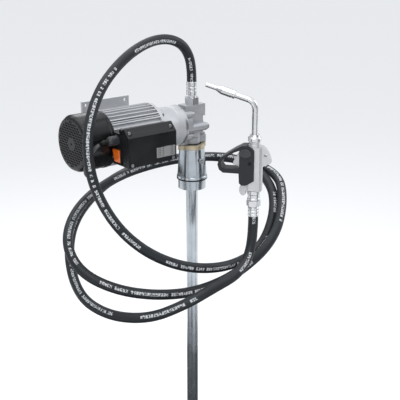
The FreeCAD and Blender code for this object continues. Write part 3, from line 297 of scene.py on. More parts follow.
def addSleeve(path):
    # tapered sleeve over the lead where it leaves the gland, with shallow grooves round it
    near = []
    walked = 0
    for before, point in zip(path, path[1:]):
        walked += (point - before).length
        near.append(before)
        if walked > strainSleeve["length"]:
            break
    sides = strainSleeve["sides"]
    every = strainSleeve["grooveEvery"]
    sleeve = tubeAlong("leadSleeve", near, strainSleeve["start"], sides, lead["faceWay"],
                       strainSleeve["end"])[0]
    makeActive(sleeve)
    editMode()
    bpy.ops.mesh.select_mode(type="FACE")
    objectMode()
    # known fault: edges of the tube are still selected here, and are extruded with the faces
    for face in sleeve.data.polygons:
        face.select = len(face.vertices) == 4 and face.index // sides % every == 1
    editMode()
    bpy.ops.mesh.extrude_region_shrink_fatten(
        TRANSFORM_OT_shrink_fatten={"value": -strainSleeve["deep"]})
    objectMode()
    bevel = sleeve.modifiers.new("softEdges", "BEVEL")
    bevel.width = strainSleeve["edge"]
    bevel.limit_method = "ANGLE"
    bevel.angle_limit = math.radians(40)
    applyModifiers(sleeve)
    bpy.ops.object.shade_smooth_by_angle(angle=math.radians(40))
    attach(sleeve, "frame")
    return sleeve


def addLead():
    route = lead["route"] + coilPoints() + lead["tail"]
    path = evenPath(splineThrough("lead", route), lead["step"])
    piece, length = tubeAlong("mainsLead", path, lead["diameter"] / 2, lead["sides"],
                              lead["faceWay"])
    sleeve = addSleeve(path)
    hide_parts("mains_cable", "cable_coil")
    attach(piece, "frame")
    print("lead", round(length, 3))
    return piece, sleeve


# turned and rounded pieces

weldGap = 0.00001


def spunPiece(name, profile, place, axis, steps=48):
    # a profile of (radius, height) points, spun about an axis through place
    deselectAll()
    bpy.ops.mesh.primitive_plane_add(size=0.001, location=(0, 0, 0))
    piece = bpy.context.object
    piece.name = name
    editMode()
    bpy.ops.mesh.select_mode(type="VERT")
    bpy.ops.mesh.select_all(action="SELECT")
    bpy.ops.mesh.merge(type="CENTER")
    bpy.ops.transform.translate(value=(profile[0][0], 0, profile[0][1]))
    for start, end in zip(profile, profile[1:]):
        step = (end[0] - start[0], 0, end[1] - start[1])
        bpy.ops.mesh.extrude_region_move(TRANSFORM_OT_translate={"value": step})
    bpy.ops.mesh.select_all(action="SELECT")
    bpy.ops.mesh.spin(steps=steps, angle=2 * math.pi, center=(0, 0, 0), axis=(0, 0, 1))
    bpy.ops.mesh.select_all(action="SELECT")
    bpy.ops.mesh.remove_doubles(threshold=weldGap)
    bpy.ops.mesh.normals_make_consistent(inside=False)
    objectMode()
    placePiece(piece, place, axis)
    bpy.ops.object.shade_smooth_by_angle(angle=math.radians(40))
    return piece


def placePiece(piece, place, axis):
    # stands the piece's own Z along axis at place, and bakes that into its mesh
    piece.rotation_mode = "QUATERNION"
    piece.rotation_quaternion = Vector((0, 0, 1)).rotation_difference(Vector(axis))
    piece.location = place
    bakePlace(piece)


# metres and degrees
edgeWork = {"merge": 0.000004, "flat": 0.6, "sharp": 35, "smooth": 38}


def roundedCopy(node, width, segments):
    # the node's own shape with its edges broken, as a cast or machined piece has them
    source = nodes[node]
    piece = source.copy()
    piece.data = source.data.copy()
    piece.name = node.replace("_", " ").title().replace(" ", "")
    piece.name = piece.name[0].lower() + piece.name[1:] + "Piece"
    for key in list(piece.keys()):
        del piece[key]
    piece.parent = None
    bpy.context.scene.collection.objects.link(piece)
    makeActive(piece)
    editMode()
    bpy.ops.mesh.select_all(action="SELECT")
    bpy.ops.mesh.customdata_custom_splitnormals_clear()
    bpy.ops.mesh.remove_doubles(threshold=edgeWork["merge"])
    bpy.ops.mesh.dissolve_limited(angle_limit=math.radians(edgeWork["flat"]),
                                  use_dissolve_boundaries=False)
    objectMode()
    bevel = piece.modifiers.new("brokenEdges", "BEVEL")
    bevel.width = width
    bevel.segments = segments
    bevel.limit_method = "ANGLE"
    bevel.angle_limit = math.radians(edgeWork["sharp"])
    bevel.miter_outer = "MITER_ARC"
    applyModifiers(piece)
    bpy.ops.object.shade_smooth_by_angle(angle=math.radians(edgeWork["smooth"]))
    weighted = piece.modifiers.new("flatNormals", "WEIGHTED_NORMAL")
    weighted.keep_sharp = True
    applyModifiers(piece)
    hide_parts(node)
    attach(piece, source["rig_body"])
    return piece


slotOf = {row["node"]: row["material_slot"] for row in frame["record"]["subparts"]}

# edge breaks in millimetres: width, segments
edgeBreaks = {
    "bung_connector": (0.8, 3), "connector_seal": (0.6, 3), "lug_flange": (1.1, 3),
    "inlet_flange": (1.2, 3), "flange_bolts": (0.5, 2), "clamp_screw": (0.4, 2),
    "suction_tube": (0.3, 2), "foot_valve_body": (0.6, 2), "foot_strainer": (0.4, 2),
    "pump_body": (1.1, 3), "pump_plate": (0.8, 2), "pump_screws": (0.5, 2),
    "bypass_cap": (0.5, 2), "outlet_nut": (0.6, 2), "hose_ferrule_pump": (0.35, 2),
    "lantern": (1.2, 3), "motor_housing": (0.35, 2), "top_rail": (1.0, 3),
    "bottom_rail": (1.0, 3), "rear_shield": (0.6, 2), "tie_bolts": (0.4, 2),
    "fan": (0.3, 2), "fan_cover": (0.25, 2), "fan_cover_screws": (0.3, 2),
    "terminal_box_base": (0.8, 3), "terminal_box_lid": (1.8, 4),
    "terminal_box_screws": (0.3, 2), "switch_body": (0.6, 3), "switch_rocker": (1.4, 4),
    "cable_gland": (0.6, 3), "rating_label": (0.1, 1), "hose_ferrule_nozzle": (0.35, 2),
    "swivel_connector": (0.4, 2), "nozzle_body": (2.0, 4), "grip_guard": (1.6, 4),
    "trigger": (1.4, 4), "trigger_pin": (0.5, 2), "spout_nut": (0.5, 2),
    "spout_tube": (0.2, 2), "tip_sleeve": (0.4, 2), "tip_spout": (0.3, 2),
    "foot_valve_disc": (0.4, 2), "motor_shaft": (0.4, 2),
}


def addRoundedNodes():
    made = {}
    for node, (width, segments) in edgeBreaks.items():
        made[node] = roundedCopy(node, width / 1000, segments)
    print("rounded", len(made))
    return made


# the plug on the end of the lead

plug = {"place": (-0.150, 0.1045, 0.088), "ridges": 5, "pinGap": 0.019, "pinRadius": 0.0024}


def addPlug():
    profile = [(0.0038, -0.035), (0.0044, -0.0349)]
    for index in range(plug["ridges"]):
        low = -0.0345 + index * 0.0028
        profile += [(0.0050 + 0.0002 * index, low),
                    (0.0052 + 0.0002 * index, low + 0.0015),
                    (0.0043 + 0.0002 * index, low + 0.0018),
                    (0.0043 + 0.0002 * index, low + 0.0027)]
    profile += [(0.0064, -0.0203), (0.0100, -0.0198), (0.0128, -0.0180), (0.0148, -0.0156),
                (0.0157, -0.0120), (0.0160, -0.0080), (0.0154, -0.0060), (0.0154, -0.0025),
                (0.0160, -0.0005), (0.0160, 0.0040), (0.0152, 0.0068), (0.0138, 0.0085),
                (0, 0.0085)]
    body = spunPiece("plugBody", [(0, -0.035)] + profile, plug["place"], (1, 0, 0))
    pieces = [body]
    for side in (-1, 1):
        pin = [(0, 0.008), (plug["pinRadius"], 0.008), (plug["pinRadius"], 0.0255),
               (plug["pinRadius"] * 0.75, 0.0266), (0, 0.027)]
        place = Vector(plug["place"]) + Vector((0, side * plug["pinGap"] / 2, 0))
        pieces.append(spunPiece("plugPinNear" if side < 0 else "plugPinFar", pin, place,
                                (1, 0, 0), 20))
    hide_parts("mains_plug")
    for piece in pieces:
        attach(piece, "frame")
    print("plug")
    return pieces


# straps that tie the coil to the foot rails

tie = {"width": 0.0048, "thick": 0.0012, "across": 0.0166, "deep": 0.0238, "corner": 0.0046,
       "head": (0.0062, 0.0036, 0.0066), "headOut": 0.0014, "headRim": 0.0012,
       "headSunk": 0.0007, "edge": 0.0003, "reach": 0.042, "angles": (168, 12, 270)}


def addTies():
    pieces = []
    centre = Vector(lead["coilCentre"])
    for index, degrees in enumerate(tie["angles"]):
        deselectAll()
        bpy.ops.mesh.primitive_cube_add(size=1, scale=(tie["across"], tie["deep"], tie["width"]))
        strap = bpy.context.object
        strap.name = f"coilTie{index + 1}"
        bakePlace(strap)
        selectFaces(strap, lambda face: abs(face.normal.z) > 0.5)
        bpy.ops.mesh.delete(type="FACE")
        objectMode()
        selectEdges(strap, lambda low, high: abs(low.z - high.z) > tie["width"] * 0.5)
        bpy.ops.mesh.bevel(offset=tie["corner"], segments=6, affect="EDGES")
        bpy.ops.mesh.select_all(action="SELECT")
        bpy.ops.mesh.normals_make_consistent(inside=False)
        objectMode()
        wall = strap.modifiers.new("wall", "SOLIDIFY")
        wall.thickness = tie["thick"]
        wall.offset = 1
        bevel = strap.modifiers.new("edge", "BEVEL")
        bevel.width = tie["edge"]
        bevel.segments = 2
        applyModifiers(strap)
        deselectAll()
        bpy.ops.mesh.primitive_cube_add(size=1, scale=tie["head"],
                                        location=(0, tie["deep"] / 2 + tie["headOut"], 0))
        head = bpy.context.object
        bakePlace(head)
        selectFaces(head, lambda face: face.normal.y > 0.5)
        bpy.ops.mesh.inset(thickness=tie["headRim"])
        bpy.ops.transform.translate(value=(0, -tie["headSunk"], 0))
        objectMode()
        bevel = head.modifiers.new("edge", "BEVEL")
        bevel.width = tie["edge"]
        bevel.segments = 2
        applyModifiers(head)
        makeActive(strap)
        head.select_set(True)
        bpy.ops.object.join()
        bpy.ops.object.shade_smooth_by_angle(angle=math.radians(40))
        angle = math.radians(degrees)
        outward = Vector((math.sin(angle), 0, -math.cos(angle)))
        through = Vector((0, 1, 0))
        strap.rotation_mode = "QUATERNION"
        turn = Matrix((outward, through, outward.cross(through))).transposed()
        strap.rotation_quaternion = turn.to_quaternion()
        strap.location = centre + outward * tie["reach"]
        bakePlace(strap)
        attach(strap, "frame")
        pieces.append(strap)
    print("ties")
    return pieces


# cap over the trigger's pivot, and a screw below it, on both sides of the guard
# cap and screw are placed by how far they are ahead, up and out from the nozzle's axis

guardTrim = {"origin": (-0.004, -0.206, 0), "turn": 128,
             "cap": (0.0155, 0.1022, 0.0160), "capHalf": (0.0124, 0.0094), "capThick": 0.0018,
             "capStep": (0.0012, 0.0005), "capRim": (0.0014, 0.0002), "capEdge": 0.0005,
             "screw": (0.0065, 0.082, 0.0146),
             "screwProfile": [(0, 0), (0.0038, 0), (0.0038, 0.0004), (0.0034, 0.0007),
                              (0.0026, 0.0007), (0.0024, 0.0001), (0, 0.0001)]}


def guardWays():
    turn = math.radians(guardTrim["turn"])
    along = Vector((math.cos(turn), math.sin(turn), 0))
    across = Vector((-math.sin(turn), math.cos(turn), 0))
    return along, across


def guardPlace(ahead, height, side):
    along, across = guardWays()
    return Vector(guardTrim["origin"]) + along * ahead + across * side + Vector((0, 0, height))


def addGuardTrim():
    across = guardWays()[1]
    pieces = []
    for side in (1, -1):
        deselectAll()
        bpy.ops.mesh.primitive_cylinder_add(vertices=48, radius=1, depth=guardTrim["capThick"],
                                            scale=(*guardTrim["capHalf"], 1))
        cap = bpy.context.object
        cap.name = "pivotCapNear" if side > 0 else "pivotCapFar"
        bakePlace(cap)
        selectFaces(cap, lambda face: face.normal.z > 0.5)
        for inward, rise in (guardTrim["capStep"], guardTrim["capRim"]):
            bpy.ops.mesh.inset(thickness=inward)
            bpy.ops.transform.translate(value=(0, 0, rise))
        objectMode()
        bevel = cap.modifiers.new("edge", "BEVEL")
        bevel.width = guardTrim["capEdge"]
        bevel.segments = 3
        bevel.limit_method = "ANGLE"
        applyModifiers(cap)
        bpy.ops.object.shade_smooth_by_angle(angle=math.radians(40))
        ahead, height, out = guardTrim["cap"]
        standOn(cap, guardPlace(ahead, height, side * out), across * side)
        screw = spunPiece("guardScrewNear" if side > 0 else "guardScrewFar",
                          guardTrim["screwProfile"], (0, 0, 0), (0, 0, 1), 32)
        ahead, height, out = guardTrim["screw"]
        standOn(screw, guardPlace(ahead, height, side * out), across * side)
        for piece, slot in ((cap, "charcoal"), (screw, "black_matte")):
            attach(piece, "nozzle")
            pieces.append(piece)
    print("guard trim")
    return pieces


def standOn(piece, place, outward):
    # the piece's Z points outward and its X lies level
    level = Vector((0, 0, 1)).cross(outward).normalized()
    turn = Matrix((level, outward.cross(level), outward)).transposed()
    piece.rotation_mode = "QUATERNION"
    piece.rotation_quaternion = turn.to_quaternion()
    piece.location = place
    bakePlace(piece)


def selectFaces(piece, wanted):
    makeActive(piece)
    editMode()
    bpy.ops.mesh.select_mode(type="FACE")
    bpy.ops.mesh.select_all(action="DESELECT")
    objectMode()
    for face in piece.data.polygons:
        face.select = wanted(face)
    editMode()


def selectEdges(piece, wanted):
    makeActive(piece)
    editMode()
    bpy.ops.mesh.select_mode(type="EDGE")
    bpy.ops.mesh.select_all(action="DESELECT")
    objectMode()
    spots = piece.data.vertices
    for edge in piece.data.edges:
        edge.select = wanted(spots[edge.vertices[0]].co, spots[edge.vertices[1]].co)
    editMode()


# shader groups

def newGroup(name, inputs, outputs):
    group = bpy.data.node_groups.new(name, "ShaderNodeTree")
    for label, kind, value in inputs:
        socket = group.interface.new_socket(label, in_out="INPUT", socket_type=kind)
        if value is not None:
            socket.default_value = value
    for label, kind in outputs:
        group.interface.new_socket(label, in_out="OUTPUT", socket_type=kind)
    start = group.nodes.new("NodeGroupInput")
    end = group.nodes.new("NodeGroupOutput")
    start.location, end.location = (-900, 0), (700, 0)
    return group, start, end


def addNode(tree, kind, x=0, y=0, **settings):
    node = tree.nodes.new(kind)
    node.location = (x, y)
    for key, value in settings.items():
        setattr(node, key, value)
    return node


def scaled(tree, source, low, high, x, y):
    # maps 0..1 to low..high, where low and high are sockets or numbers
    node = addNode(tree, "ShaderNodeMapRange", x, y)
    tree.links.new(source, node.inputs["Value"])
    for label, value in (("To Min", low), ("To Max", high)):
        if hasattr(value, "is_linked"):
            tree.links.new(value, node.inputs[label])
        else:
            node.inputs[label].default_value = value
    return node.outputs["Result"]


def surfaceGroup():
    # tone, gloss and fine relief that change over a surface, with worn edges
    group, start, end = newGroup("surfaceFinish", [
        ("Vector", "NodeSocketVector", None), ("Base", "NodeSocketColor", (0.5, 0.5, 0.5, 1)),
        ("Tone", "NodeSocketColor", (0.4, 0.4, 0.4, 1)),
        ("Worn", "NodeSocketColor", (0.7, 0.7, 0.7, 1)),
        ("Broad Scale", "NodeSocketFloat", 18), ("Grain Scale", "NodeSocketFloat", 900),
        ("Tone Amount", "NodeSocketFloat", 0.5), ("Wear", "NodeSocketFloat", 0.2),
        ("Rough Low", "NodeSocketFloat", 0.3), ("Rough High", "NodeSocketFloat", 0.5),
        ("Scratch", "NodeSocketFloat", 0.2),
    ], [("Colour", "NodeSocketColor"), ("Roughness", "NodeSocketFloat"),
        ("Height", "NodeSocketFloat")])
    links = group.links
    broad = addNode(group, "ShaderNodeTexNoise", -700, 300)
    broad.inputs["Detail"].default_value = 4
    links.new(start.outputs["Vector"], broad.inputs["Vector"])
    links.new(start.outputs["Broad Scale"], broad.inputs["Scale"])
    grain = addNode(group, "ShaderNodeTexNoise", -700, 60)
    grain.inputs["Detail"].default_value = 3
    links.new(start.outputs["Vector"], grain.inputs["Vector"])
    links.new(start.outputs["Grain Scale"], grain.inputs["Scale"])
    stretch = addNode(group, "ShaderNodeMapping", -900, -250)
    stretch.inputs["Scale"].default_value = (35, 420, 900)
    stretch.inputs["Rotation"].default_value = (0.4, 0.7, 0.3)
    links.new(start.outputs["Vector"], stretch.inputs["Vector"])
    marks = addNode(group, "ShaderNodeTexNoise", -700, -250)
    marks.inputs["Scale"].default_value = 1
    marks.inputs["Detail"].default_value = 2
    links.new(stretch.outputs["Vector"], marks.inputs["Vector"])
    thin = addNode(group, "ShaderNodeMapRange", -500, -250)
    thin.inputs["From Min"].default_value = 0.66
    thin.inputs["From Max"].default_value = 0.74
    links.new(marks.outputs["Fac"], thin.inputs["Value"])
    scratch = addNode(group, "ShaderNodeMath", -300, -250, operation="MULTIPLY")
    links.new(thin.outputs["Result"], scratch.inputs[0])
    links.new(start.outputs["Scratch"], scratch.inputs[1])
    spread = addNode(group, "ShaderNodeMapRange", -500, 300)
    spread.inputs["From Min"].default_value = 0.35
    spread.inputs["From Max"].default_value = 0.7
    links.new(broad.outputs["Fac"], spread.inputs["Value"])
    amount = addNode(group, "ShaderNodeMath", -300, 300, operation="MULTIPLY")
    links.new(spread.outputs["Result"], amount.inputs[0])
    links.new(start.outputs["Tone Amount"], amount.inputs[1])
    toned = addNode(group, "ShaderNodeMix", -100, 300, data_type="RGBA")
    links.new(amount.outputs[0], toned.inputs["Factor"])
    links.new(start.outputs["Base"], toned.inputs["A"])
    links.new(start.outputs["Tone"], toned.inputs["B"])
    shape = addNode(group, "ShaderNodeNewGeometry", -700, 600)
    edge = addNode(group, "ShaderNodeMapRange", -500, 600)
    edge.inputs["From Min"].default_value = 0.53
    edge.inputs["From Max"].default_value = 0.62
    links.new(shape.outputs["Pointiness"], edge.inputs["Value"])
    patchy = addNode(group, "ShaderNodeMath", -300, 600, operation="MULTIPLY")
    links.new(edge.outputs["Result"], patchy.inputs[0])
    links.new(grain.outputs["Fac"], patchy.inputs[1])
    wear = addNode(group, "ShaderNodeMath", -100, 600, operation="MULTIPLY", use_clamp=True)
    links.new(patchy.outputs[0], wear.inputs[0])
    links.new(start.outputs["Wear"], wear.inputs[1])
    both = addNode(group, "ShaderNodeMath", 60, 480, operation="MAXIMUM")
    links.new(wear.outputs[0], both.inputs[0])
    links.new(scratch.outputs[0], both.inputs[1])
    coloured = addNode(group, "ShaderNodeMix", 220, 300, data_type="RGBA")
    links.new(both.outputs[0], coloured.inputs["Factor"])
    links.new(toned.outputs["Result"], coloured.inputs["A"])
    links.new(start.outputs["Worn"], coloured.inputs["B"])
    links.new(coloured.outputs["Result"], end.inputs["Colour"])
    rough = scaled(group, spread.outputs["Result"], start.outputs["Rough Low"],
                   start.outputs["Rough High"], 220, 60)
    links.new(rough, end.inputs["Roughness"])
    relief = addNode(group, "ShaderNodeMath", 220, -150, operation="SUBTRACT")
    links.new(grain.outputs["Fac"], relief.inputs[0])
    links.new(scratch.outputs[0], relief.inputs[1])
    links.new(relief.outputs[0], end.inputs["Height"])
    return group


def turnedGroup():
    # fine rings left by a lathe round the Z axis, and their gloss
    group, start, end = newGroup("turnedLines", [
        ("Vector", "NodeSocketVector", None), ("Pitch", "NodeSocketFloat", 2500),
        ("Strength", "NodeSocketFloat", 0.5),
    ], [("Lines", "NodeSocketFloat")])
    parts = addNode(group, "ShaderNodeSeparateXYZ", -700, 0)
    group.links.new(start.outputs["Vector"], parts.inputs[0])
    stretch = addNode(group, "ShaderNodeCombineXYZ", -500, 0)
    group.links.new(parts.outputs["Z"], stretch.inputs["Z"])
    rings = addNode(group, "ShaderNodeTexNoise", -300, 0)
    rings.inputs["Detail"].default_value = 3
    group.links.new(stretch.outputs[0], rings.inputs["Vector"])
    group.links.new(start.outputs["Pitch"], rings.inputs["Scale"])
    strength = addNode(group, "ShaderNodeMath", 0, 0, operation="MULTIPLY")
    group.links.new(rings.outputs["Fac"], strength.inputs[0])
    group.links.new(start.outputs["Strength"], strength.inputs[1])
    group.links.new(strength.outputs[0], end.inputs["Lines"])
    return group


def printedGroup():
    # unreadable printed strokes in a row: X runs along the row, Y across it, both in metres
    group, start, end = newGroup("printedMarks", [
        ("Along", "NodeSocketFloat", 0), ("Across", "NodeSocketFloat", 0),
        ("Letter", "NodeSocketFloat", 0.004), ("Height", "NodeSocketFloat", 0.005),
        ("Words", "NodeSocketFloat", 9),
    ], [("Mask", "NodeSocketFloat")])
    links = group.links

    def sums(operation, first, second, x, y):
        node = addNode(group, "ShaderNodeMath", x, y, operation=operation)
        for index, value in enumerate((first, second)):
            if hasattr(value, "is_linked"):
                links.new(value, node.inputs[index])
            elif value is not None:
                node.inputs[index].default_value = value
        return node.outputs[0]

    cell = sums("DIVIDE", start.outputs["Along"], start.outputs["Letter"], -700, 200)
    number = sums("FLOOR", cell, None, -500, 300)
    place = sums("FRACT", cell, None, -500, 100)
    word = sums("FLOOR", sums("DIVIDE", cell, start.outputs["Words"], -500, 500), None, -300, 500)
    random = addNode(group, "ShaderNodeTexWhiteNoise", -300, 300, noise_dimensions="1D")
    links.new(number, random.inputs["W"])
    wordRandom = addNode(group, "ShaderNodeTexWhiteNoise", -100, 500, noise_dimensions="1D")
    links.new(word, wordRandom.inputs["W"])
    height = sums("DIVIDE", start.outputs["Across"], start.outputs["Height"], -700, -200)
    rows = sums("FLOOR", sums("MULTIPLY", height, 3, -500, -200), None, -300, -200)
    columns = sums("FLOOR", sums("MULTIPLY", place, 3, -300, 50), None, -100, 50)
    cells = addNode(group, "ShaderNodeCombineXYZ", 60, -100)
    links.new(columns, cells.inputs["X"])
    links.new(rows, cells.inputs["Y"])
    links.new(number, cells.inputs["Z"])
    strokes = addNode(group, "ShaderNodeTexWhiteNoise", 220, -100, noise_dimensions="3D")
    links.new(cells.outputs[0], strokes.inputs["Vector"])
    inked = sums("GREATER_THAN", strokes.outputs["Value"], 0.33, 380, -100)
    gap = sums("LESS_THAN", place, 0.82, 60, 100)
    inside = sums("LESS_THAN", sums("ABSOLUTE", height, None, -100, -350), 0.5, 60, -350)
    shown = sums("GREATER_THAN", random.outputs["Value"], 0.1, 60, 300)
    printed = sums("GREATER_THAN", wordRandom.outputs["Value"], 0.2, 60, 500)
    mask = sums("MULTIPLY", inked, gap, 520, 0)
    mask = sums("MULTIPLY", mask, inside, 540, -100)
    mask = sums("MULTIPLY", mask, shown, 560, -200)
    mask = sums("MULTIPLY", mask, printed, 580, -300)
    links.new(mask, end.inputs["Mask"])
    return group


surfaceFinish = surfaceGroup()
turnedLines = turnedGroup()
printedMarks = printedGroup()

# finishes: base, tone and worn colours, roughness range, grain scale and relief in metres
finishes = {
    "castAluminium": dict(base=(0.60, 0.61, 0.63), tone=(0.50, 0.51, 0.535),
                          worn=(0.74, 0.75, 0.76), rough=(0.42, 0.58), metallic=0.55,
                          grain=650, relief=0.00012, wear=0.5),
    "pumpCasting": dict(base=(0.47, 0.48, 0.505), tone=(0.36, 0.37, 0.39), worn=(0.66, 0.67, 0.69),
                        rough=(0.38, 0.55), metallic=0.6, grain=500, relief=0.00018, wear=0.7),
    "zincSteel": dict(base=(0.56, 0.61, 0.65), tone=(0.46, 0.51, 0.56), worn=(0.75, 0.77, 0.78),
                      rough=(0.18, 0.3), metallic=1, grain=1400, relief=0.000012, wear=0.3,
                      turned=True),
    "yellowZinc": dict(base=(0.62, 0.53, 0.36), tone=(0.50, 0.46, 0.40), worn=(0.74, 0.71, 0.63),
                       rough=(0.3, 0.45), metallic=0.9, grain=900, relief=0.00006, wear=0.5),
    "steel": dict(base=(0.62, 0.63, 0.65), tone=(0.50, 0.51, 0.53), worn=(0.78, 0.79, 0.80),
                  rough=(0.28, 0.4), metallic=1, grain=1500, relief=0.00001, wear=0.4),
    "brightSteel": dict(base=(0.80, 0.81, 0.82), tone=(0.70, 0.71, 0.73), worn=(0.88, 0.88, 0.89),
                        rough=(0.24, 0.34), metallic=1, grain=1300, relief=0.000005, wear=0.2),
    "nozzleAluminium": dict(base=(0.66, 0.665, 0.68), tone=(0.57, 0.575, 0.59),
                            worn=(0.80, 0.80, 0.81), rough=(0.34, 0.48), metallic=0.6, grain=800,
                            relief=0.00008, wear=0.5),
    "sinteredSteel": dict(base=(0.33, 0.33, 0.34), tone=(0.26, 0.26, 0.27), worn=(0.5, 0.5, 0.5),
                          rough=(0.4, 0.55), metallic=0.9, grain=1200, relief=0.00006, wear=0.4),
    "blackGloss": dict(base=(0.0045, 0.005, 0.006), tone=(0.008, 0.009, 0.011),
                       worn=(0.05, 0.054, 0.06), rough=(0.26, 0.38), metallic=0, grain=1100,
                       relief=0.00004, wear=0.2, shine=0.5),
    "coverGloss": dict(base=(0.004, 0.0045, 0.0052), tone=(0.0075, 0.008, 0.0095),
                       worn=(0.05, 0.054, 0.06), rough=(0.22, 0.32), metallic=0, grain=900,
                       relief=0.00004, wear=0.2, shine=0.42),
    "blackMatte": dict(base=(0.007, 0.007, 0.0075), tone=(0.013, 0.013, 0.014),
                       worn=(0.05, 0.05, 0.05), rough=(0.42, 0.58), metallic=0, grain=900,
                       relief=0.00008, wear=0.2, shine=0.3),
    "charcoal": dict(base=(0.019, 0.0215, 0.0245), tone=(0.028, 0.031, 0.035),
                     worn=(0.07, 0.075, 0.08), rough=(0.36, 0.5), metallic=0, grain=1100,
                     relief=0.0001, wear=0.25, shine=0.35),
    "capGrey": dict(base=(0.036, 0.04, 0.045), tone=(0.048, 0.053, 0.059),
                    worn=(0.12, 0.125, 0.13), rough=(0.3, 0.42), metallic=0, grain=900,
                    relief=0.00005, wear=0.3),
    "glandGrey": dict(base=(0.03, 0.033, 0.037), tone=(0.05, 0.054, 0.06), worn=(0.14, 0.145, 0.15),
                      rough=(0.26, 0.38), metallic=0, grain=900, relief=0.00005, wear=0.3),
    "orangePlastic": dict(base=(0.83, 0.16, 0.012), tone=(0.72, 0.12, 0.01), worn=(0.9, 0.3, 0.1),
                          rough=(0.2, 0.32), metallic=0, grain=900, relief=0.00003, wear=0.2,
                          coat=0.4),
    "sealRubber": dict(base=(0.006, 0.006, 0.0065), tone=(0.012, 0.012, 0.012),
                       worn=(0.04, 0.04, 0.04), rough=(0.5, 0.7), metallic=0, grain=900,
                       relief=0.00008, wear=0.1, shine=0.3),
    "leadRubber": dict(base=(0.085, 0.088, 0.094), tone=(0.066, 0.069, 0.074),
                       worn=(0.13, 0.13, 0.13), rough=(0.32, 0.45), metallic=0, grain=1500,
                       relief=0.00005, wear=0),
    "copperWinding": dict(base=(0.55, 0.22, 0.08), tone=(0.40, 0.14, 0.05), worn=(0.7, 0.35, 0.15),
                          rough=(0.25, 0.4), metallic=0.8, grain=700, relief=0.0003, wear=0.2),
    "nylon": dict(base=(0.72, 0.71, 0.67), tone=(0.64, 0.63, 0.58), worn=(0.8, 0.8, 0.78),
                  rough=(0.4, 0.5), metallic=0, grain=900, relief=0.00005, wear=0.1),
}

# the same for every finish unless it says otherwise
common = {"broad": 22, "scratch": 0.12, "coatRough": 0.12, "bump": 0.6}


def newMaterial(name, look):
    material = bpy.data.materials.new(name)
    material.use_nodes = True
    tree = material.node_tree
    shader = tree.nodes["Principled BSDF"]
    place = addNode(tree, "ShaderNodeTexCoord", -900, 0)
    finish = addNode(tree, "ShaderNodeGroup", -600, 0, node_tree=surfaceFinish)
    tree.links.new(place.outputs["Object"], finish.inputs["Vector"])
    for label, key in (("Base", "base"), ("Tone", "tone"), ("Worn", "worn")):
        finish.inputs[label].default_value = (*look[key], 1)
    for label, value in zip(("Rough Low", "Rough High"), look["rough"]):
        finish.inputs[label].default_value = value
    finish.inputs["Grain Scale"].default_value = look["grain"]
    finish.inputs["Wear"].default_value = look["wear"]
    finish.inputs["Broad Scale"].default_value = look.get("broad", common["broad"])
    finish.inputs["Scratch"].default_value = common["scratch"]
    shader.inputs["Metallic"].default_value = look["metallic"]
    shader.inputs["Coat Weight"].default_value = look.get("coat", 0)
    shader.inputs["Coat Roughness"].default_value = common["coatRough"]
    shader.inputs["Specular IOR Level"].default_value = look.get("shine", 0.5)
    tree.links.new(finish.outputs["Colour"], shader.inputs["Base Color"])
    tree.links.new(finish.outputs["Roughness"], shader.inputs["Roughness"])
    bump = addNode(tree, "ShaderNodeBump", -250, -250)
    bump.inputs["Strength"].default_value = common["bump"]
    bump.inputs["Distance"].default_value = look["relief"]
    height = finish.outputs["Height"]
    if look.get("turned"):
        lines = addNode(tree, "ShaderNodeGroup", -600, -350, node_tree=turnedLines)
        tree.links.new(place.outputs["Object"], lines.inputs["Vector"])
        both = addNode(tree, "ShaderNodeMath", -420, -250, operation="ADD")
        tree.links.new(height, both.inputs[0])
        tree.links.new(lines.outputs["Lines"], both.inputs[1])
        height = both.outputs[0]
    tree.links.new(height, bump.inputs["Height"])
    tree.links.new(bump.outputs["Normal"], shader.inputs["Normal"])
    return material


# printed finishes: letter width, mark height and letters to a word are the marks'
hosePrint = {
    "look": dict(base=(0.017, 0.0205, 0.025), tone=(0.011, 0.0135, 0.017),
                 worn=(0.06, 0.065, 0.07), rough=(0.42, 0.56), metallic=0, grain=1300,
                 relief=0.0001, wear=0, broad=30, shine=0.4),
    "letter": 0.0052, "height": 0.0062, "words": 11, "ink": (0.56, 0.58, 0.6),
}
platePrint = {
    "look": dict(base=(0.62, 0.63, 0.62), tone=(0.54, 0.55, 0.54), worn=(0.75, 0.75, 0.74),
                 rough=(0.3, 0.42), metallic=0.85, grain=1300, relief=0.00003, wear=0.2),
    "letter": 0.0021, "height": 0.0018, "words": 7, "ink": (0.10, 0.10, 0.10),
    "left": -0.172, "bottom": 0.1008, "row": 0.0034,
}


def markedMaterial(name, marking, along, across):
    # a finish with rows of printed marks; along and across add the nodes that measure them
    material = newMaterial(name, marking["look"])
    tree = material.node_tree
    shader = tree.nodes["Principled BSDF"]
    marks = addNode(tree, "ShaderNodeGroup", -400, 300, node_tree=printedMarks)
    for label in ("Letter", "Height", "Words"):
        marks.inputs[label].default_value = marking[label.lower()]
    tree.links.new(along(tree), marks.inputs["Along"])
    tree.links.new(across(tree), marks.inputs["Across"])
    mix = addNode(tree, "ShaderNodeMix", -150, 250, data_type="RGBA")
    tree.links.new(marks.outputs["Mask"], mix.inputs["Factor"])
    tree.links.new(shader.inputs["Base Color"].links[0].from_socket, mix.inputs["A"])
    mix.inputs["B"].default_value = (*marking["ink"], 1)
    tree.links.new(mix.outputs["Result"], shader.inputs["Base Color"])
    return material


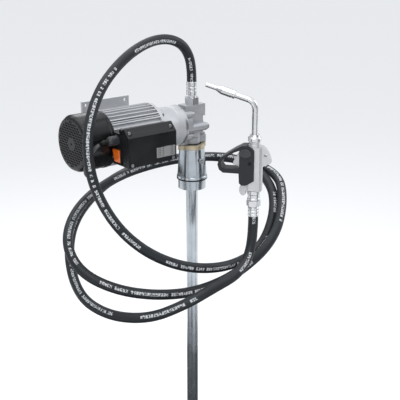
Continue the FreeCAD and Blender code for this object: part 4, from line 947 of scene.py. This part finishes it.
def mapPart(part, low, factor):
    # one part of the tube's own map, as a function that adds its nodes to a tree
    def add(tree):
        wrap = addNode(tree, "ShaderNodeUVMap", -1100, 500, uv_map="alongTube")
        parts = addNode(tree, "ShaderNodeSeparateXYZ", -950, 500)
        tree.links.new(wrap.outputs["UV"], parts.inputs[0])
        moved = addNode(tree, "ShaderNodeMath", -800, 500, operation="ADD")
        tree.links.new(parts.outputs[part], moved.inputs[0])
        moved.inputs[1].default_value = low
        sized = addNode(tree, "ShaderNodeMath", -650, 500, operation="MULTIPLY")
        tree.links.new(moved.outputs[0], sized.inputs[0])
        sized.inputs[1].default_value = factor
        return sized.outputs[0]
    return add


def objectPart(part, low):
    # how far a point lies past low on one axis, as a function that adds its nodes to a tree
    def add(tree):
        place = addNode(tree, "ShaderNodeTexCoord", -1100, 500)
        parts = addNode(tree, "ShaderNodeSeparateXYZ", -950, 500)
        tree.links.new(place.outputs["Object"], parts.inputs[0])
        moved = addNode(tree, "ShaderNodeMath", -800, 500, operation="SUBTRACT")
        tree.links.new(parts.outputs[part], moved.inputs[0])
        moved.inputs[1].default_value = low
        return moved.outputs[0]
    return add


materialOf = {
    "zinc_steel": "zincSteel", "yellow_zinc": "yellowZinc", "steel": "steel",
    "bright_steel": "brightSteel", "cast_aluminium": "castAluminium",
    "pump_cast_iron": "pumpCasting", "sintered_steel": "sinteredSteel",
    "black_gloss": "blackGloss", "black_matte": "blackMatte", "charcoal": "charcoal",
    "orange": "orangePlastic", "nozzle_aluminium": "nozzleAluminium",
    "seal_rubber": "sealRubber", "hose_rubber": "leadRubber", "cable_rubber": "leadRubber",
    "copper": "copperWinding", "nylon": "nylon", "label": "steel",
}

# pieces with a finish other than their slot's
ownFinish = {"cable_gland": "glandGrey", "fan_cover": "coverGloss", "trigger_pin": "charcoal"}


def paint(piece, material):
    piece.data.materials.clear()
    piece.data.materials.append(material)


def paintAll(rounded, hosePiece, leadPiece, sleevePiece, plugPieces, tiePieces, trimPieces):
    made = {name: newMaterial(name, look) for name, look in finishes.items()}
    for node, piece in nodes.items():
        paint(piece, made[materialOf[slotOf[node]]])
    for node, piece in rounded.items():
        paint(piece, made[ownFinish.get(node, materialOf[slotOf[node]])])
    around = math.pi * hose["diameter"]
    paint(hosePiece, markedMaterial("hoseRubber", hosePrint, mapPart("Y", 0, 1),
                                    mapPart("X", -0.5, around)))
    paint(leadPiece, made["leadRubber"])
    paint(rounded["rating_label"],
          markedMaterial("ratingPlate", platePrint, objectPart("X", platePrint["left"]), plateRows))
    paint(plugPieces[0], made["blackMatte"])
    for piece in plugPieces[1:]:
        paint(piece, made["brightSteel"])
    for piece in tiePieces + [sleevePiece]:
        paint(piece, made["blackMatte"])
    for piece in trimPieces:
        paint(piece, made["capGrey" if "Cap" in piece.name else "blackMatte"])
    print("painted", len(made) + 2)


def plateRows(tree):
    # height within each printed line of the plate, centred on the line
    rise = objectPart("Z", platePrint["bottom"])(tree)
    step = addNode(tree, "ShaderNodeMath", -700, 650, operation="MODULO")
    tree.links.new(rise, step.inputs[0])
    step.inputs[1].default_value = platePrint["row"]
    middle = addNode(tree, "ShaderNodeMath", -550, 650, operation="SUBTRACT")
    tree.links.new(step.outputs[0], middle.inputs[0])
    middle.inputs[1].default_value = platePrint["row"] / 2
    return middle.outputs[0]


# stage, lights and world

# name, place, aim, size, power, colour
lights = [
    ("keySoftbox", (-1.5, -1.5, 1.9), (-0.1, -0.05, 0.05), 1.8, 18, (1, 0.985, 0.96)),
    ("topSoftbox", (-0.1, 0.2, 2.2), (-0.1, 0, 0.1), 2.0, 14, (1, 1, 1)),
    ("sideSoftbox", (1.9, -0.6, 0.9), (0, -0.05, 0.05), 1.0, 9, (0.95, 0.97, 1)),
    ("backSoftbox", (0.4, 1.9, 1.3), (-0.1, 0, 0.05), 1.2, 10, (1, 1, 1)),
]

# dark boards that only shiny surfaces reflect: place, way it faces, width, height
boards = [((0.95, -1.45, 0.25), (-0.55, 0.84, 0), 0.9, 1.9),
          ((0.1, 1.8, 0.2), (0, -1, 0), 1, 1.9),
          ((-2.0, 0.2, 0.1), (1, -0.1, 0), 0.7, 1.6),
          ((-0.05, -0.05, -0.8555), (0, 0, 1), 2.2, 2.0)]

studio = {"tint": (0.95, 0.97, 1), "low": 0.35, "high": 1.2, "seen": 0.93,
          "floorHeight": -0.8565, "floorSize": 60, "floorTone": 0.93, "floorRough": 0.8,
          "boardTone": (0.05, 0.052, 0.055)}


def addLights():
    for name, place, aim, size, power, colour in lights:
        data = bpy.data.lights.new(name, "AREA")
        data.size = size
        data.energy = power
        data.color = colour
        lamp = bpy.data.objects.new(name, data)
        bpy.context.scene.collection.objects.link(lamp)
        lamp.location = place
        lamp.rotation_euler = (Vector(aim) - Vector(place)).to_track_quat("-Z", "Y").to_euler()
    world = bpy.data.worlds.new("studioWorld")
    bpy.context.scene.world = world
    world.use_nodes = True
    tree = world.node_tree
    soft = tree.nodes["Background"]
    soft.inputs["Color"].default_value = (*studio["tint"], 1)
    seen = addNode(tree, "ShaderNodeBackground", 0, 300)
    seen.inputs["Color"].default_value = (1, 1, 1, 1)
    seen.inputs["Strength"].default_value = studio["seen"]
    place = addNode(tree, "ShaderNodeTexCoord", -600, 0)
    parts = addNode(tree, "ShaderNodeSeparateXYZ", -400, 0)
    tree.links.new(place.outputs["Generated"], parts.inputs[0])
    strength = scaled(tree, parts.outputs["Z"], studio["low"], studio["high"], -200, 0)
    tree.links.new(strength, soft.inputs["Strength"])
    path = addNode(tree, "ShaderNodeLightPath", 0, 600)
    mix = addNode(tree, "ShaderNodeMixShader", 250, 200)
    tree.links.new(path.outputs["Is Camera Ray"], mix.inputs["Fac"])
    tree.links.new(soft.outputs["Background"], mix.inputs[1])
    tree.links.new(seen.outputs["Background"], mix.inputs[2])
    tree.links.new(mix.outputs[0], tree.nodes["World Output"].inputs["Surface"])
    bpy.context.scene.view_settings.view_transform = "Standard"
    print("lights", len(lights))


def addBoards():
    material = bpy.data.materials.new("boardBlack")
    material.use_nodes = True
    shader = material.node_tree.nodes["Principled BSDF"]
    shader.inputs["Base Color"].default_value = (*studio["boardTone"], 1)
    shader.inputs["Roughness"].default_value = 1
    for index, (place, way, width, height) in enumerate(boards):
        deselectAll()
        bpy.ops.mesh.primitive_plane_add(size=1)
        board = bpy.context.object
        board.name = f"darkBoard{index + 1}"
        board.scale = (width, height, 1)
        board.rotation_euler = Vector(way).to_track_quat("Z", "Y").to_euler()
        board.location = place
        bakePlace(board)
        board.visible_camera = False
        board.visible_diffuse = False
        board.visible_shadow = False
        paint(board, material)
    print("boards", len(boards))


def addFloor():
    deselectAll()
    bpy.ops.mesh.primitive_plane_add(size=studio["floorSize"],
                                     location=(0, 0, studio["floorHeight"]))
    floor = bpy.context.object
    floor.name = "studioFloor"
    bakePlace(floor)
    material = bpy.data.materials.new("paleFloor")
    material.use_nodes = True
    tree = material.node_tree
    shader = tree.nodes["Principled BSDF"]
    shader.inputs["Base Color"].default_value = (*[studio["floorTone"]] * 3, 1)
    shader.inputs["Roughness"].default_value = studio["floorRough"]
    paint(floor, material)
    print("floor")


addCamera()
rounded = addRoundedNodes()
hosePiece = addHose()
plugPieces = addPlug()
leadPiece, sleevePiece = addLead()
tiePieces = addTies()
trimPieces = addGuardTrim()
paintAll(rounded, hosePiece, leadPiece, sleevePiece, plugPieces, tiePieces, trimPieces)
addLights()
addBoards()
addFloor()
